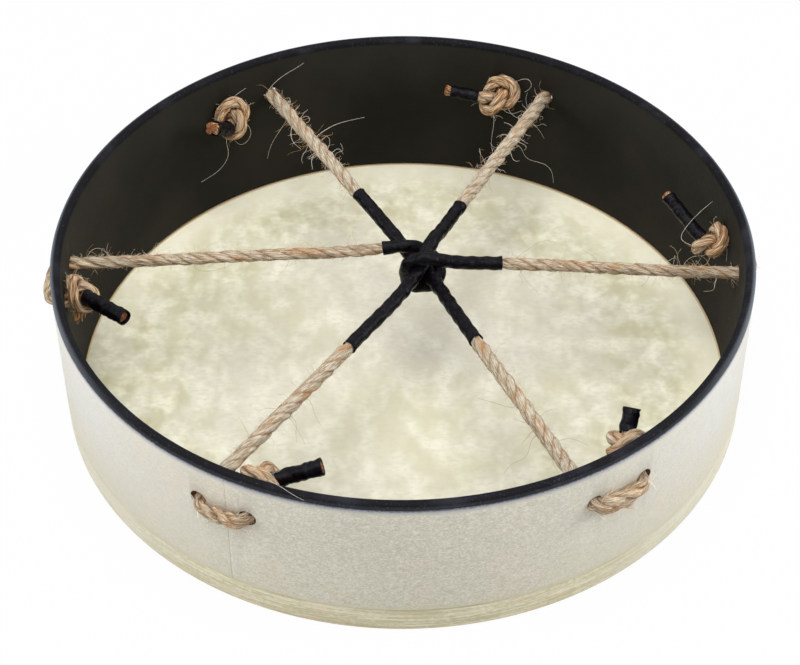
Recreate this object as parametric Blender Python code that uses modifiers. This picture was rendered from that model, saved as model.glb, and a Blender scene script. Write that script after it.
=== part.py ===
# Round frame drum lying on its head, with a six-armed rope handle across the open back.
# Metres, +Z up. The origin is the centre of the head's outer face, which is the face it lies on.

import math

import bmesh
import bpy
import numpy as np

# Sizes of the hoop, its sheet and the head
DRUM_DIAMETER = 0.3556
DRUM_HEIGHT = 0.0889
SHELL_WALL = 0.0043
FOOT_FLARE = 0.0025
FLARE_HEIGHT = 0.0450
WRAP_THICKNESS = 0.0006
FILM_THICKNESS = 0.0004
SEAT_GAP = 0.0003
LIP_HEIGHT = 0.0034
LIP_OUTER_ROUND = 0.0009
LIP_INNER_ROUND = 0.0028
COLLAR_HEIGHT = 0.0150
COLLAR_ROUND = 0.0016
BEARING_EDGE_CHAMFER = 0.0012
SEAM_ANGLE = 242.8
SEAM_GAP = 0.0004

# Sizes of the ropes, the holes they pass and the sleeves on them
ROPE_DIAMETER = 0.0070
KNOTTED_ROPE_SHARE = 0.83
HOLE_CLEARANCE = 0.00145
HOLE_LEVEL = 0.0638
STITCH_REST_GAP = 0.0005
STITCH_BEND_MARGIN = 0.00075
STITCH_SAG = 0.0004
KNOT_REST_GAP = 0.00045
SLEEVE_DIAMETER = 0.0070
SLEEVE_WALL = 0.0005
SLEEVE_LIP = 0.0005
END_SLEEVE_START = 0.0010
SQUEEZE_MARGIN = 0.0006
SWELL_LENGTH = 0.0030
CROSSING_X = 0.0125
CROSSING_Y = 0.0080

# How finely round things are cut
ROUND_STEPS = 72
HOLE_SIDES = 16
ROPE_SIDES = 8
ROPE_MAX_TURN = 30.0
ROPE_MAX_STEP = 0.040
ROPE_MAX_TAPER = 0.12
ROPE_CHORD_ERROR = 0.00014
ROPE_FINE_STEP = 0.0004
STITCH_TURNS = (25, 50, 75)
ARM_SHARES = (0.05, 0.35, 0.65, 0.90)
CUTTER_MARGIN = 0.0080

# Where the six arms leave the drum, in degrees round from +X
ARM_ANGLES = {
    "right": 1.2,
    "back_right": 62.2,
    "back_left": 115.6,
    "left": 176.0,
    "front_left": 237.8,
    "front_right": 300.0,
}

# How far round the wall each knot's hole is from its arm's hole, in metres
HOLE_PITCHES = {
    "right": 0.0320,
    "back_right": 0.0278,
    "back_left": 0.0325,
    "left": 0.0300,
    "front_left": 0.0265,
    "front_right": 0.0290,
}

# How far each knot stands from where it would be snug to its hole: inward, along the wall, up
KNOT_SHIFTS = {
    "right": (0.0000, 0.0000, 0.0000),
    "back_right": (0.0000, 0.0000, 0.0000),
    "back_left": (0.0000, 0.0000, 0.0000),
    "left": (0.0020, -0.0010, 0.0030),
    "front_left": (0.0080, 0.0000, 0.0070),
    "front_right": (0.0060, 0.0030, 0.0050),
}

# How each knot is turned about its hole, in degrees
KNOT_ROLLS = {
    "right": 0.0,
    "back_right": 7.0,
    "back_left": -8.0,
    "left": 6.0,
    "front_left": -6.0,
    "front_right": 12.0,
}

# Each rope tail beyond its knot: along the wall, inward and up, in metres
TAILS = {
    "right": (0.0250, 0.0090, 0.0050),
    "back_right": (0.0190, 0.0040, 0.0030),
    "back_left": (0.0110, 0.0060, 0.0100),
    "left": (0.0155, 0.0150, 0.0010),
    "front_left": (0.0170, 0.0085, 0.0035),
    "front_right": (0.0050, 0.0045, 0.0080),
}

# A tightened overhand knot, in knot widths: inward from the hole, along the wall, up
OVERHAND = [
    (0.90, -0.45, 0.20), (1.90, -0.55, 0.40), (2.60, -0.30, -0.30), (2.40, 0.40, -1.05),
    (1.50, 0.90, -1.05), (0.85, 0.90, -0.25), (0.70, 0.60, 0.75), (0.65, -0.35, 1.25),
    (0.75, -1.30, 0.90), (1.35, -1.50, 0.10), (1.60, -0.75, -0.60), (1.65, 0.20, -0.30),
    (2.25, 1.00, 0.00),
]
KNOT_NEAREST_WALL = 0.65
KNOT_LEAST_SPACING = 0.955

# How the ropes lie where they cross, in sleeve spacings from the crossing
LOWER_CROSSING = [
    (-3.58, 6.05, -0.22), (-1.84, 3.26, -0.55), (-0.88, 1.78, -0.86), (-0.15, 0.45, -0.57),
    (0.65, -1.10, -0.50), (1.65, -3.40, -0.40), (2.67, -5.75, -0.25),
]
UPPER_CROSSING = [
    (2.25, 6.10, 0.25), (0.97, 3.10, 0.70), (0.36, 1.75, 0.98), (-0.20, 0.45, 0.62),
    (-0.80, -1.10, 0.45), (-2.25, -3.65, 0.30), (-3.90, -6.00, 0.20),
]
ROUND_TURN = [
    (-6.15, 1.65, 0.10), (-3.40, 1.72, 0.35), (-1.30, 1.84, 0.48), (-0.26, 1.84, 0.08),
    (0.55, 1.66, -0.44), (1.03, 1.20, -0.95), (0.92, 0.65, -1.42), (0.25, 0.35, -1.72),
    (-0.55, 0.10, -1.68), (-1.24, -0.12, -1.20), (-1.58, -0.25, -0.35), (-1.66, -0.40, 0.58),
    (-1.10, -0.64, 1.45), (0.00, -0.72, 1.68), (1.10, -0.62, 1.34), (2.70, -0.33, 0.84),
    (5.30, 0.05, 0.42),
]

# Each rope: its two stations, how it crosses the others, and its sleeve's reach to either side
ROPES = {
    "back_left_to_front_right": ("back_left", "front_right", LOWER_CROSSING, 0.0690, 0.0610),
    "back_right_to_front_left": ("back_right", "front_left", UPPER_CROSSING, 0.0500, 0.0740),
    "left_to_right": ("left", "right", ROUND_TURN, 0.0520, 0.0750),
}

# Sizes that follow from those above
OUTER_RADIUS = DRUM_DIAMETER / 2
SHELL_OUTER = OUTER_RADIUS - WRAP_THICKNESS - SEAT_GAP
SHELL_INNER = SHELL_OUTER - SHELL_WALL
FOOT_INNER = SHELL_INNER - FOOT_FLARE
COLLAR_OUTER = SHELL_OUTER + SEAT_GAP + FILM_THICKNESS
SHELL_FOOT = FILM_THICKNESS + SEAT_GAP
ROPE_RADIUS = ROPE_DIAMETER / 2
KNOTTED_RADIUS = ROPE_RADIUS * KNOTTED_ROPE_SHARE
KNOT_WIDTH = (2 * KNOTTED_RADIUS + SEAT_GAP) / KNOT_LEAST_SPACING
HOLE_RADIUS = ROPE_RADIUS + HOLE_CLEARANCE
STITCH_BEND = HOLE_RADIUS + STITCH_BEND_MARGIN
STITCH_RADIUS = OUTER_RADIUS + ROPE_RADIUS + STITCH_REST_GAP
SLEEVE_SPACING = SLEEVE_DIAMETER + SEAT_GAP
SLEEVE_FLAT = SLEEVE_DIAMETER / 2 * math.cos(math.pi / ROPE_SIDES)
SLEEVED_RADIUS = SLEEVE_FLAT - SLEEVE_WALL - SEAT_GAP


def clear_scene():
    for item in list(bpy.data.objects):
        bpy.data.objects.remove(item, do_unlink=True)
    for group in list(bpy.data.collections):
        bpy.data.collections.remove(group)


def new_collection(name):
    group = bpy.data.collections.new(name)
    bpy.context.scene.collection.children.link(group)
    return group


def linear(value):
    share = value / 255
    return share / 12.92 if share <= 0.04045 else ((share + 0.055) / 1.055) ** 2.4


def new_material(name, colour, roughness, metallic=0.0):
    made = bpy.data.materials.new(name)
    made.use_nodes = True
    shader = made.node_tree.nodes["Principled BSDF"]
    shader.inputs["Base Color"].default_value = (*[linear(part) for part in colour], 1.0)
    shader.inputs["Roughness"].default_value = roughness
    shader.inputs["Metallic"].default_value = metallic
    return made


def arc(centre, radius, start, end, steps):
    # Points on a circle in the turning plane, angles in degrees
    points = []
    for step in range(steps + 1):
        angle = math.radians(start + (end - start) * step / steps)
        points.append((centre[0] + radius * math.cos(angle), centre[1] + radius * math.sin(angle)))
    return points


def turned(name, profile, group, material, closed=True):
    # A profile of (radius, height) points turned about Z
    mesh = bpy.data.meshes.new(name)
    count = len(profile)
    edges = [(i, i + 1) for i in range(count - 1)]
    if closed:
        edges.append((count - 1, 0))
    mesh.from_pydata([(radius, 0, height) for radius, height in profile], edges, [])
    item = bpy.data.objects.new(name, mesh)
    group.objects.link(item)
    screw = item.modifiers.new("Turn", "SCREW")
    screw.axis = "Z"
    screw.angle = math.tau
    screw.steps = ROUND_STEPS
    screw.render_steps = ROUND_STEPS
    screw.use_merge_vertices = True
    screw.merge_threshold = 0.00001
    item.data.materials.append(material)
    return item


def cut(item, cutter):
    tool = item.modifiers.new("Cut", "BOOLEAN")
    tool.operation = "DIFFERENCE"
    tool.solver = "EXACT"
    tool.object = cutter


def around(angle, radius, height):
    return np.array([radius * math.cos(angle), radius * math.sin(angle), height])


def knot_hole_angle(station):
    return math.radians(ARM_ANGLES[station]) + HOLE_PITCHES[station] / OUTER_RADIUS


def make_hole_cutter(group):
    # One radial drill for each of the twelve rope holes
    shape = bmesh.new()
    depth = OUTER_RADIUS - SHELL_INNER + 2 * CUTTER_MARGIN
    middle = (SHELL_INNER + OUTER_RADIUS) / 2
    for station, degrees in ARM_ANGLES.items():
        for angle in (math.radians(degrees), knot_hole_angle(station)):
            made = bmesh.ops.create_cone(
                shape, cap_ends=True, segments=HOLE_SIDES, depth=depth, radius1=HOLE_RADIUS, radius2=HOLE_RADIUS)
            for vertex in made["verts"]:
                across, up, along = vertex.co
                place = around(angle, middle + along, HOLE_LEVEL + up)
                vertex.co = (
                    place[0] - across * math.sin(angle), place[1] + across * math.cos(angle), place[2])
    mesh = bpy.data.meshes.new("rope_hole_cutter")
    shape.to_mesh(mesh)
    shape.free()
    return add_cutter("rope_hole_cutter", mesh, group)


def make_seam_cutter(group):
    # A thin upright slab that parts the two butted ends of the wrap
    shape = bmesh.new()
    made = bmesh.ops.create_cube(shape, size=1.0)
    angle = math.radians(SEAM_ANGLE)
    for vertex in made["verts"]:
        radius = OUTER_RADIUS + vertex.co.x * CUTTER_MARGIN
        across = vertex.co.y * SEAM_GAP
        place = around(angle, radius, DRUM_HEIGHT / 2 + vertex.co.z * (DRUM_HEIGHT + CUTTER_MARGIN))
        vertex.co = (place[0] - across * math.sin(angle), place[1] + across * math.cos(angle), place[2])
    mesh = bpy.data.meshes.new("seam_cutter")
    shape.to_mesh(mesh)
    shape.free()
    return add_cutter("seam_cutter", mesh, group)


def add_cutter(name, mesh, group):
    item = bpy.data.objects.new(name, mesh)
    group.objects.link(item)
    item.hide_render = True
    item.display_type = "WIRE"
    return item


def make_shell(group, material, holes):
    foot = COLLAR_ROUND - FILM_THICKNESS - SEAT_GAP
    profile = arc((SHELL_OUTER - LIP_OUTER_ROUND, DRUM_HEIGHT - LIP_OUTER_ROUND), LIP_OUTER_ROUND, 90, 0, 3)
    profile += arc((SHELL_OUTER - foot, SHELL_FOOT + foot), foot, 0, -90, 3)
    profile.append((FOOT_INNER + BEARING_EDGE_CHAMFER, SHELL_FOOT))
    profile.append((FOOT_INNER, SHELL_FOOT + BEARING_EDGE_CHAMFER))
    profile.append((SHELL_INNER, FLARE_HEIGHT))
    profile += arc((SHELL_INNER + LIP_INNER_ROUND, DRUM_HEIGHT - LIP_INNER_ROUND), LIP_INNER_ROUND, 180, 90, 2)
    cut(turned("shell", profile, group, material), holes)


def make_wrap(group, material, holes, seam):
    top = DRUM_HEIGHT - LIP_HEIGHT
    low = COLLAR_HEIGHT + SEAT_GAP
    inner = OUTER_RADIUS - WRAP_THICKNESS
    wrap = turned("outer_wrap", [(OUTER_RADIUS, top), (OUTER_RADIUS, low), (inner, low), (inner, top)], group, material)
    cut(wrap, holes)
    cut(wrap, seam)


def make_head(group, material):
    # A shallow cup of film: out along its inside, over the collar's edge and back along its outside
    bend = (COLLAR_OUTER - COLLAR_ROUND, COLLAR_ROUND)
    profile = [(0, FILM_THICKNESS)]
    profile += arc(bend, COLLAR_ROUND - FILM_THICKNESS, -90, 0, 3)
    profile += [(COLLAR_OUTER - FILM_THICKNESS, COLLAR_HEIGHT), (COLLAR_OUTER, COLLAR_HEIGHT)]
    profile += arc(bend, COLLAR_ROUND, 0, -90, 3)
    profile.append((0, 0))
    turned("drumhead", profile, group, material, closed=False)


def spline(waypoints):
    # A smooth curve through the waypoints, as points a step apart
    points = np.array(waypoints)
    spans = np.sqrt(np.linalg.norm(np.diff(points, axis=0), axis=1))
    count = len(points)
    system = np.eye(count)
    side = np.zeros((count, 3))
    for i in range(1, count - 1):
        before, after = spans[i - 1], spans[i]
        system[i, i - 1:i + 2] = before, 2 * (before + after), after
        side[i] = 6 * ((points[i + 1] - points[i]) / after - (points[i] - points[i - 1]) / before)
    bend = np.linalg.solve(system, side)
    fine = [points[0]]
    for i, span in enumerate(spans):
        pieces = 2 + int(2 * span * span / ROPE_FINE_STEP)
        for share in np.arange(1, pieces + 1) / pieces:
            rest = 1 - share
            fine.append(
                rest * points[i] + share * points[i + 1]
                + ((rest ** 3 - rest) * bend[i] + (share ** 3 - share) * bend[i + 1]) * span * span / 6)
    fine = np.array(fine)
    length = run_lengths(fine)
    even = np.linspace(0, length[-1], int(length[-1] / ROPE_FINE_STEP) + 1)
    return np.stack([np.interp(even, length, fine[:, axis]) for axis in range(3)], axis=1)


def run_lengths(points):
    return np.concatenate([[0.0], np.cumsum(np.linalg.norm(np.diff(points, axis=0), axis=1))])


def stitch_waypoints(station):
    # Out through the arm's hole, along the outside of the wall, and in through the knot's hole
    start = math.radians(ARM_ANGLES[station])
    pitch = HOLE_PITCHES[station]
    straight = STITCH_RADIUS - STITCH_BEND
    rises = [(0.0, SHELL_INNER - SEAT_GAP), (0.0, (SHELL_INNER + OUTER_RADIUS) / 2)]
    for degrees in STITCH_TURNS:
        turn = math.radians(degrees)
        rises.append((STITCH_BEND * (1 - math.cos(turn)), straight + STITCH_BEND * math.sin(turn)))
    rises.append((pitch / 2, STITCH_RADIUS))
    falls = [(pitch - along, radius) for along, radius in rises[-2::-1]]
    points = []
    for along, radius in rises + falls:
        sag = STITCH_SAG * math.sin(math.pi * along / pitch) ** 2
        points.append(around(start + along / OUTER_RADIUS, radius, HOLE_LEVEL - sag))
    return points


def knot_waypoints(station):
    # The stopper knot on the inside of the wall, and the tail beyond it
    angle = knot_hole_angle(station)
    roll = math.radians(KNOT_ROLLS[station])
    snug = KNOTTED_RADIUS + KNOT_REST_GAP - KNOT_NEAREST_WALL * KNOT_WIDTH
    inward = -around(angle, 1, 0)
    along = np.array([-math.sin(angle), math.cos(angle), 0])
    up = np.array([0, 0, 1])
    shift = KNOT_SHIFTS[station]
    start = around(angle, SHELL_INNER, HOLE_LEVEL) + (snug + shift[0]) * inward + shift[1] * along + shift[2] * up
    points = []
    for deep, side, high in OVERHAND:
        rolled_side = side * math.cos(roll) - high * math.sin(roll)
        rolled_high = side * math.sin(roll) + high * math.cos(roll)
        points.append(start + KNOT_WIDTH * (deep * inward + rolled_side * along + rolled_high * up))
    tail = TAILS[station]
    reach = tail[0] * along + tail[1] * inward + tail[2] * up
    return points + [points[-1] + reach / 3, points[-1] + reach * 2 / 3, points[-1] + reach]


def arm_waypoints(wall, middle):
    # Points on the straight arm between the wall and the crossing, so that it stays straight
    return [wall + (middle - wall) * share for share in ARM_SHARES]


def rope_route(name):
    # The rope's fine points, and the marks on it: its crossing, then its walls and tails at either end
    first, second, crossing = ROPES[name][:3]
    centre = np.array([CROSSING_X, CROSSING_Y, HOLE_LEVEL])
    middle = [centre + SLEEVE_SPACING * np.array(offset) for offset in crossing]
    stitches = [stitch_waypoints(station) for station in (first, second)]
    knots = [knot_waypoints(station) for station in (first, second)]
    way = (stitches[0] + knots[0])[::-1] + arm_waypoints(stitches[0][0], middle[0]) + middle
    way += arm_waypoints(stitches[1][0], middle[-1])[::-1] + stitches[1] + knots[1]
    points = spline(way)
    crossed = nearest(points, middle[len(middle) // 2])
    walls = [nearest(points, stitch[-1]) for stitch in stitches]
    exits = [nearest(points, knot[len(OVERHAND) - 1]) for knot in knots]
    return points, crossed, walls, exits


def nearest(points, place):
    return int(np.argmin(np.linalg.norm(points - place, axis=1)))


def smooth_step(value):
    share = np.clip(value, 0, 1)
    return share * share * (3 - 2 * share)


def rope_plan(name):
    # The rope's points and radii, and which of them each of its sleeves covers
    points, crossed, walls, exits = rope_route(name)
    length = run_lengths(points)
    reach_first, reach_second = ROPES[name][3:]
    spans = [
        (length[crossed] - reach_first, length[crossed] + reach_second),
        (0.0, length[exits[0]] - END_SLEEVE_START),
        (length[exits[1]] + END_SLEEVE_START, length[-1]),
    ]
    into_knot = np.maximum(length[walls[0]] - length, length - length[walls[1]])
    radius = ROPE_RADIUS + (KNOTTED_RADIUS - ROPE_RADIUS) * smooth_step(into_knot / SWELL_LENGTH + 1)
    for begin, end in spans:
        into_sleeve = np.minimum(length - begin, end - length)
        squeezed = smooth_step((into_sleeve + SQUEEZE_MARGIN) / SWELL_LENGTH + 1)
        sleeved = ROPE_RADIUS + (SLEEVED_RADIUS - ROPE_RADIUS) * squeezed
        radius = np.minimum(radius, sleeved)
    marks = [[int(np.argmin(np.abs(length - place))) for place in span] for span in spans]
    keep = thin(points, radius, sum(marks, []))
    covered = [[keep.index(spot) for spot in mark] for mark in marks]
    return points[keep], radius[keep], [slice(begin, end + 1) for begin, end in covered]


def thin(points, radius, must):
    # Which points to keep, so that no joint of the tube turns or tapers too far
    heading = np.diff(points, axis=0)
    heading /= np.linalg.norm(heading, axis=1)[:, None]
    kept = [0]
    for i in range(1, len(points) - 1):
        last = kept[-1]
        turn = math.degrees(math.acos(np.clip(heading[last] @ heading[i], -1, 1)))
        step = np.linalg.norm(points[i] - points[last])
        taper = abs(radius[i] / radius[last] - 1)
        bulge = step * math.radians(turn) / 8
        coarse = turn > ROPE_MAX_TURN or step > ROPE_MAX_STEP or bulge > ROPE_CHORD_ERROR
        if i in must or coarse or taper > ROPE_MAX_TAPER:
            kept.append(i)
    return kept + [len(points) - 1]


def tube(name, points, radius, group, material, filled):
    data = bpy.data.curves.new(name, "CURVE")
    data.dimensions = "3D"
    data.bevel_depth = 1.0
    data.bevel_resolution = ROPE_SIDES // 2 - 2
    data.use_fill_caps = filled
    line = data.splines.new("POLY")
    line.points.add(len(points) - 1)
    for spot, place, thickness in zip(line.points, points, radius):
        spot.co = (*place, 1)
        spot.radius = thickness
    item = bpy.data.objects.new(name, data)
    group.objects.link(item)
    item.data.materials.append(material)
    return item


def make_sleeve(name, points, group, material):
    item = tube(name, points, np.full(len(points), SLEEVE_DIAMETER / 2), group, material, False)
    wall = item.modifiers.new("Wall", "SOLIDIFY")
    wall.thickness = SLEEVE_WALL
    wall.offset = -1
    wall.use_even_offset = True


def least_gap(points, radius):
    # The least gap between two stretches of one rope that are not neighbours along it
    length = run_lengths(points)
    apart = np.abs(length[:, None] - length[None]) > 4 * ROPE_RADIUS
    gap = np.linalg.norm(points[:, None] - points[None], axis=2) - radius[:, None] - radius[None]
    return gap[apart].min()


def set_back(points):
    # The rope's cut ends stop a little inside the mouths of their sleeves
    moved = points.copy()
    for end, inner in ((0, 1), (-1, -2)):
        heading = points[inner] - points[end]
        moved[end] += heading / np.linalg.norm(heading) * SLEEVE_LIP
    return moved


def make_ropes(group, rope_material, sleeve_material):
    for name, (first, second, *rest) in ROPES.items():
        points, radius, (grip, tail_first, tail_second) = rope_plan(name)
        tube("rope_" + name, set_back(points), radius, group, rope_material, True)
        make_sleeve("grip_sleeve_" + name, points[grip], group, sleeve_material)
        make_sleeve("end_sleeve_" + first, points[tail_first], group, sleeve_material)
        make_sleeve("end_sleeve_" + second, points[tail_second], group, sleeve_material)
        length = run_lengths(points)[-1]
        print(name, "length", round(length, 4), "least gap to itself", round(least_gap(points, radius), 5))


def main():
    clear_scene()
    drum = new_collection("buffalo_drum")
    cutters = new_collection("cutters")
    black = new_material("black pressed fibre", (40, 38, 34), 0.55)
    pale = new_material("pebbled sheet", (213, 213, 208), 0.6)
    film = new_material("fibre film", (225, 220, 195), 0.5)
    rope = new_material("laid rope", (212, 186, 156), 0.9)
    shrunk = new_material("shrunk tube", (26, 25, 28), 0.6)
    holes = make_hole_cutter(cutters)
    seam = make_seam_cutter(cutters)
    make_shell(drum, black, holes)
    make_wrap(drum, pale, holes, seam)
    make_head(drum, film)
    make_ropes(drum, rope, shrunk)


main()
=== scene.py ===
# Looks of a round frame drum that lies on its head, with a knotted rope handle across its open back.
# Metres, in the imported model's own frame: the origin is the centre of the head's outer face, +Z up.

import math

import bmesh
import bpy
import numpy as np
from mathutils import Matrix, Vector


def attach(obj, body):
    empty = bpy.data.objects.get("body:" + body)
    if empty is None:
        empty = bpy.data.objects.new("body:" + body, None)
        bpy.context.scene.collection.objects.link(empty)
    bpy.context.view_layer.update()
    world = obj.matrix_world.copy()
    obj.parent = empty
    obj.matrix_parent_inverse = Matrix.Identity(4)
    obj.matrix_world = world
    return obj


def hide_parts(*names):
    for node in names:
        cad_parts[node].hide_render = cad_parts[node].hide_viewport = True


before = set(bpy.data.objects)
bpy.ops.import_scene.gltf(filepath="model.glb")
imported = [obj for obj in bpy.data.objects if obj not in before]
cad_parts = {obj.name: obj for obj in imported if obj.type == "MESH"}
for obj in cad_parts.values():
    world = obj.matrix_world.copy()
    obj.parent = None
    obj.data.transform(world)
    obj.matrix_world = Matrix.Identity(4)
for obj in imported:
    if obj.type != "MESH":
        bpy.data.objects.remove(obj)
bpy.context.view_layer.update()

# Sizes of the hoop, its sheet and the head
DRUM_DIAMETER = 0.3556
DRUM_HEIGHT = 0.0889
SHELL_WALL = 0.0043
FOOT_FLARE = 0.0025
FLARE_HEIGHT = 0.0450
WRAP_THICKNESS = 0.0006
FILM_THICKNESS = 0.0004
SEAT_GAP = 0.0003
LIP_HEIGHT = 0.0034
LIP_OUTER_ROUND = 0.0021
LIP_SEAT = 0.0001
LIP_INNER_ROUND = 0.0028
COLLAR_HEIGHT = 0.0150
COLLAR_ROUND = 0.0016
BEARING_EDGE_CHAMFER = 0.0012
SEAM_ANGLE = 242.8
SEAM_GAP = 0.0004
SEAM_CUT_WIDTH = 0.6 * SEAM_GAP
SEAM_CUT_DEPTH = 0.7 * WRAP_THICKNESS
ROUND_STEPS = 288
HOLE_SIDES = 40
HOLE_EDGE_ROUND = 0.0003
SHEET_EDGE_ROUND = 0.25 * WRAP_THICKNESS
HOLE_RADIUS = 0.0044

# The angles in degrees from which corners are softened and below which faces are shaded as one, and how near
# to a ring of edges counts as on it
SHARP_CORNER = 60
SMOOTH_BELOW = 40
ON_RING = 0.0001

# Sizes of the ropes, the holes they pass and the sleeves on them
ROPE_DIAMETER = 0.0070
KNOTTED_ROPE_SHARE = 0.83
HOLE_LEVEL = 0.0638
STITCH_REST_GAP = 0.0005
STITCH_BEND = 0.0057
STITCH_SAG = 0.0004
STITCH_TURNS = (25, 50, 75)
KNOT_REST_GAP = 0.00045
KNOT_NEAREST_WALL = 0.65
KNOT_LEAST_SPACING = 0.955
SLEEVE_DIAMETER = 0.0070
SLEEVE_WALL = 0.0005
CROSSING = (0.0125, 0.0080)
ARM_SHARES = (0.05, 0.35, 0.65, 0.90)
ROUTE_STEP = 0.0008

# Each station on the wall: the arm's angle in degrees, how far round the knot's hole is from the arm's,
# how far the knot stands inward, along the wall and up from where it would be snug, its turn in degrees,
# and the tail beyond it along the wall, inward and up
STATIONS = {
    "right": (1.2, 0.0320, (0.0, 0.0, -0.0030), 0.0, (0.0250, 0.0090, 0.0080)),
    "back_right": (62.2, 0.0278, (0.0, 0.0, -0.0015), 7.0, (0.0206, 0.0040, 0.0032)),
    "back_left": (115.6, 0.0325, (0.0, -0.0015, -0.0015), -8.0, (0.0145, 0.0060, 0.0120)),
    "left": (176.0, 0.0300, (0.0020, -0.0010, 0.0040), 6.0, (0.0155, 0.0150, 0.0010)),
    "front_left": (237.8, 0.0265, (0.0080, 0.0, 0.0048), -6.0, (0.0155, 0.0085, 0.0050)),
    "front_right": (300.0, 0.0290, (0.0060, 0.0065, 0.0040), 12.0, (0.0056, 0.0035, 0.0062)),
}

# Each tail's tube: its girth against the grips' tubes, how far it runs in over the knot, and how much rope
# shows past its mouth, or lies back inside it where negative
TAIL_TUBES = {
    "right": (1.00, 0.0035, 0.0012),
    "back_right": (0.97, -0.0026, 0.0019),
    "back_left": (1.10, 0.0010, 0.0044),
    "left": (1.12, 0.0020, -0.0012),
    "front_left": (1.14, 0.0060, -0.0003),
    "front_right": (1.16, 0.0040, -0.0026),
}

# How tightly each station's knot is drawn up, as a share of a slack one
KNOT_SIZES = {
    "right": 0.90,
    "back_right": 0.96,
    "back_left": 0.90,
    "left": 0.80,
    "front_left": 0.95,
    "front_right": 0.95,
}

# How tanned each station's knot is
KNOT_TANS = {
    "right": 0.75,
    "back_right": 1.0,
    "back_left": 1.0,
    "left": 1.0,
    "front_left": 0.45,
    "front_right": 0.35,
}

# How tanned the arms of each rope and the stitches outside the hoop are
ARM_TANS = {
    "back_left_to_front_right": 0.0,
    "back_right_to_front_left": 0.0,
    "left_to_right": 0.25,
}
STITCH_TAN = 0.40

# Each stitch outside the hoop: how much it thins out where it leaves the wall at the knot's hole and at the
# arm's, and how much fuller or thinner it is half way between them
STITCH_SHAPES = {
    "right": (0.40, 0.40, -0.30),
    "back_right": (0.20, 0.20, 0.0),
    "back_left": (0.20, 0.20, 0.0),
    "left": (0.45, 0.50, -0.20),
    "front_left": (0.10, 0.45, -0.05),
    "front_right": (0.44, 0.05, 0.22),
}
STITCH_TAPER_LENGTH = 0.017
STITCH_LUMPS = 1.5

# A tightened overhand knot, in knot widths: inward from the hole, along the wall, up
OVERHAND = [
    (0.90, -0.45, 0.20), (1.90, -0.55, 0.40), (2.60, -0.30, -0.30), (2.40, 0.40, -1.05),
    (1.50, 0.90, -1.05), (0.85, 0.90, -0.25), (0.70, 0.60, 0.75), (0.65, -0.35, 1.25),
    (0.75, -1.30, 0.90), (1.35, -1.50, 0.10), (1.60, -0.75, -0.60), (1.65, 0.20, -0.30),
    (2.25, 1.00, 0.00),
]

# How the ropes lie where they cross, in sleeve spacings from the crossing
LOWER_CROSSING = [
    (-3.58, 6.05, -0.22), (-1.84, 3.26, -0.55), (-0.88, 1.78, -0.86), (-0.15, 0.45, -0.57),
    (0.65, -1.10, -0.50), (1.65, -3.40, -0.40), (2.67, -5.75, -0.25),
]
UPPER_CROSSING = [
    (2.25, 6.10, 0.25), (0.97, 3.10, 0.70), (0.36, 1.75, 0.98), (-0.20, 0.45, 0.62),
    (-0.80, -1.10, 0.45), (-2.25, -3.65, 0.30), (-3.90, -6.00, 0.20),
]
ROUND_TURN = [
    (-6.15, 1.65, 0.10), (-3.40, 1.72, 0.35), (-1.30, 1.84, 0.48), (-0.26, 1.84, 0.08),
    (0.50, 1.62, -0.44), (0.86, 1.10, -0.95), (0.74, 0.50, -1.42), (0.20, 0.25, -1.72),
    (-0.55, 0.10, -1.68), (-1.22, -0.15, -1.20), (-1.46, -0.35, -0.35), (-1.45, -0.55, 0.62),
    (-0.98, -0.70, 1.36), (0.00, -0.72, 1.60), (1.10, -0.62, 1.30), (2.70, -0.33, 0.82),
    (5.30, 0.05, 0.42),
]

# Each rope: its two stations, how it crosses the others, and its sleeve's reach to either side
ROPES = {
    "back_left_to_front_right": ("back_left", "front_right", LOWER_CROSSING, 0.0690, 0.0610),
    "back_right_to_front_left": ("back_right", "front_left", UPPER_CROSSING, 0.0500, 0.0740),
    "left_to_right": ("left", "right", ROUND_TURN, 0.0520, 0.0750),
}

# The rope's lay and its girth: depths and swells are shares of its radius, rates are radians to a metre, and
# waves have a range of crests round the rope and a range of rates along it
LAY_STRANDS = 3
LAY_PITCH = 0.0270
LAY_DEPTH = 0.17
KNOT_LAY_DEPTH = 0.27
LAY_WANDER = 0.40
LAY_WANDER_RATE = 70
STRAND_ROUNDNESS = 2.2
GROOVE_SHARPNESS = 5
ROPE_SIDES = 54
ROPE_SWELL = 0.050
ROPE_WAVES = (1, 7), (150, 1100)
WAVE_COUNT = 8
GIRTH_WANDER = 0.03
GIRTH_WANDER_RATES = (410, 133)
KNOT_FULLNESS = 1.06
SQUEEZE_LENGTH = 0.0030
FILL_OF_BORE = 0.94
YARN_TWIST = 0.25
CREASE_REACH = 0.0018
CREASE_LEAST_RUN = 2.2 * ROPE_DIAMETER
CUT_END_SHARES = (0.86, 0.55, 0.15)
CUT_END_RISES = (0.50, 0.85, 1.00)
CUT_END_DOME = 0.15 * ROPE_DIAMETER
ROPE_GIRTHS = {
    "back_left_to_front_right": 1.03,
    "back_right_to_front_left": 1.03,
    "left_to_right": 0.90,
}

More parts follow.
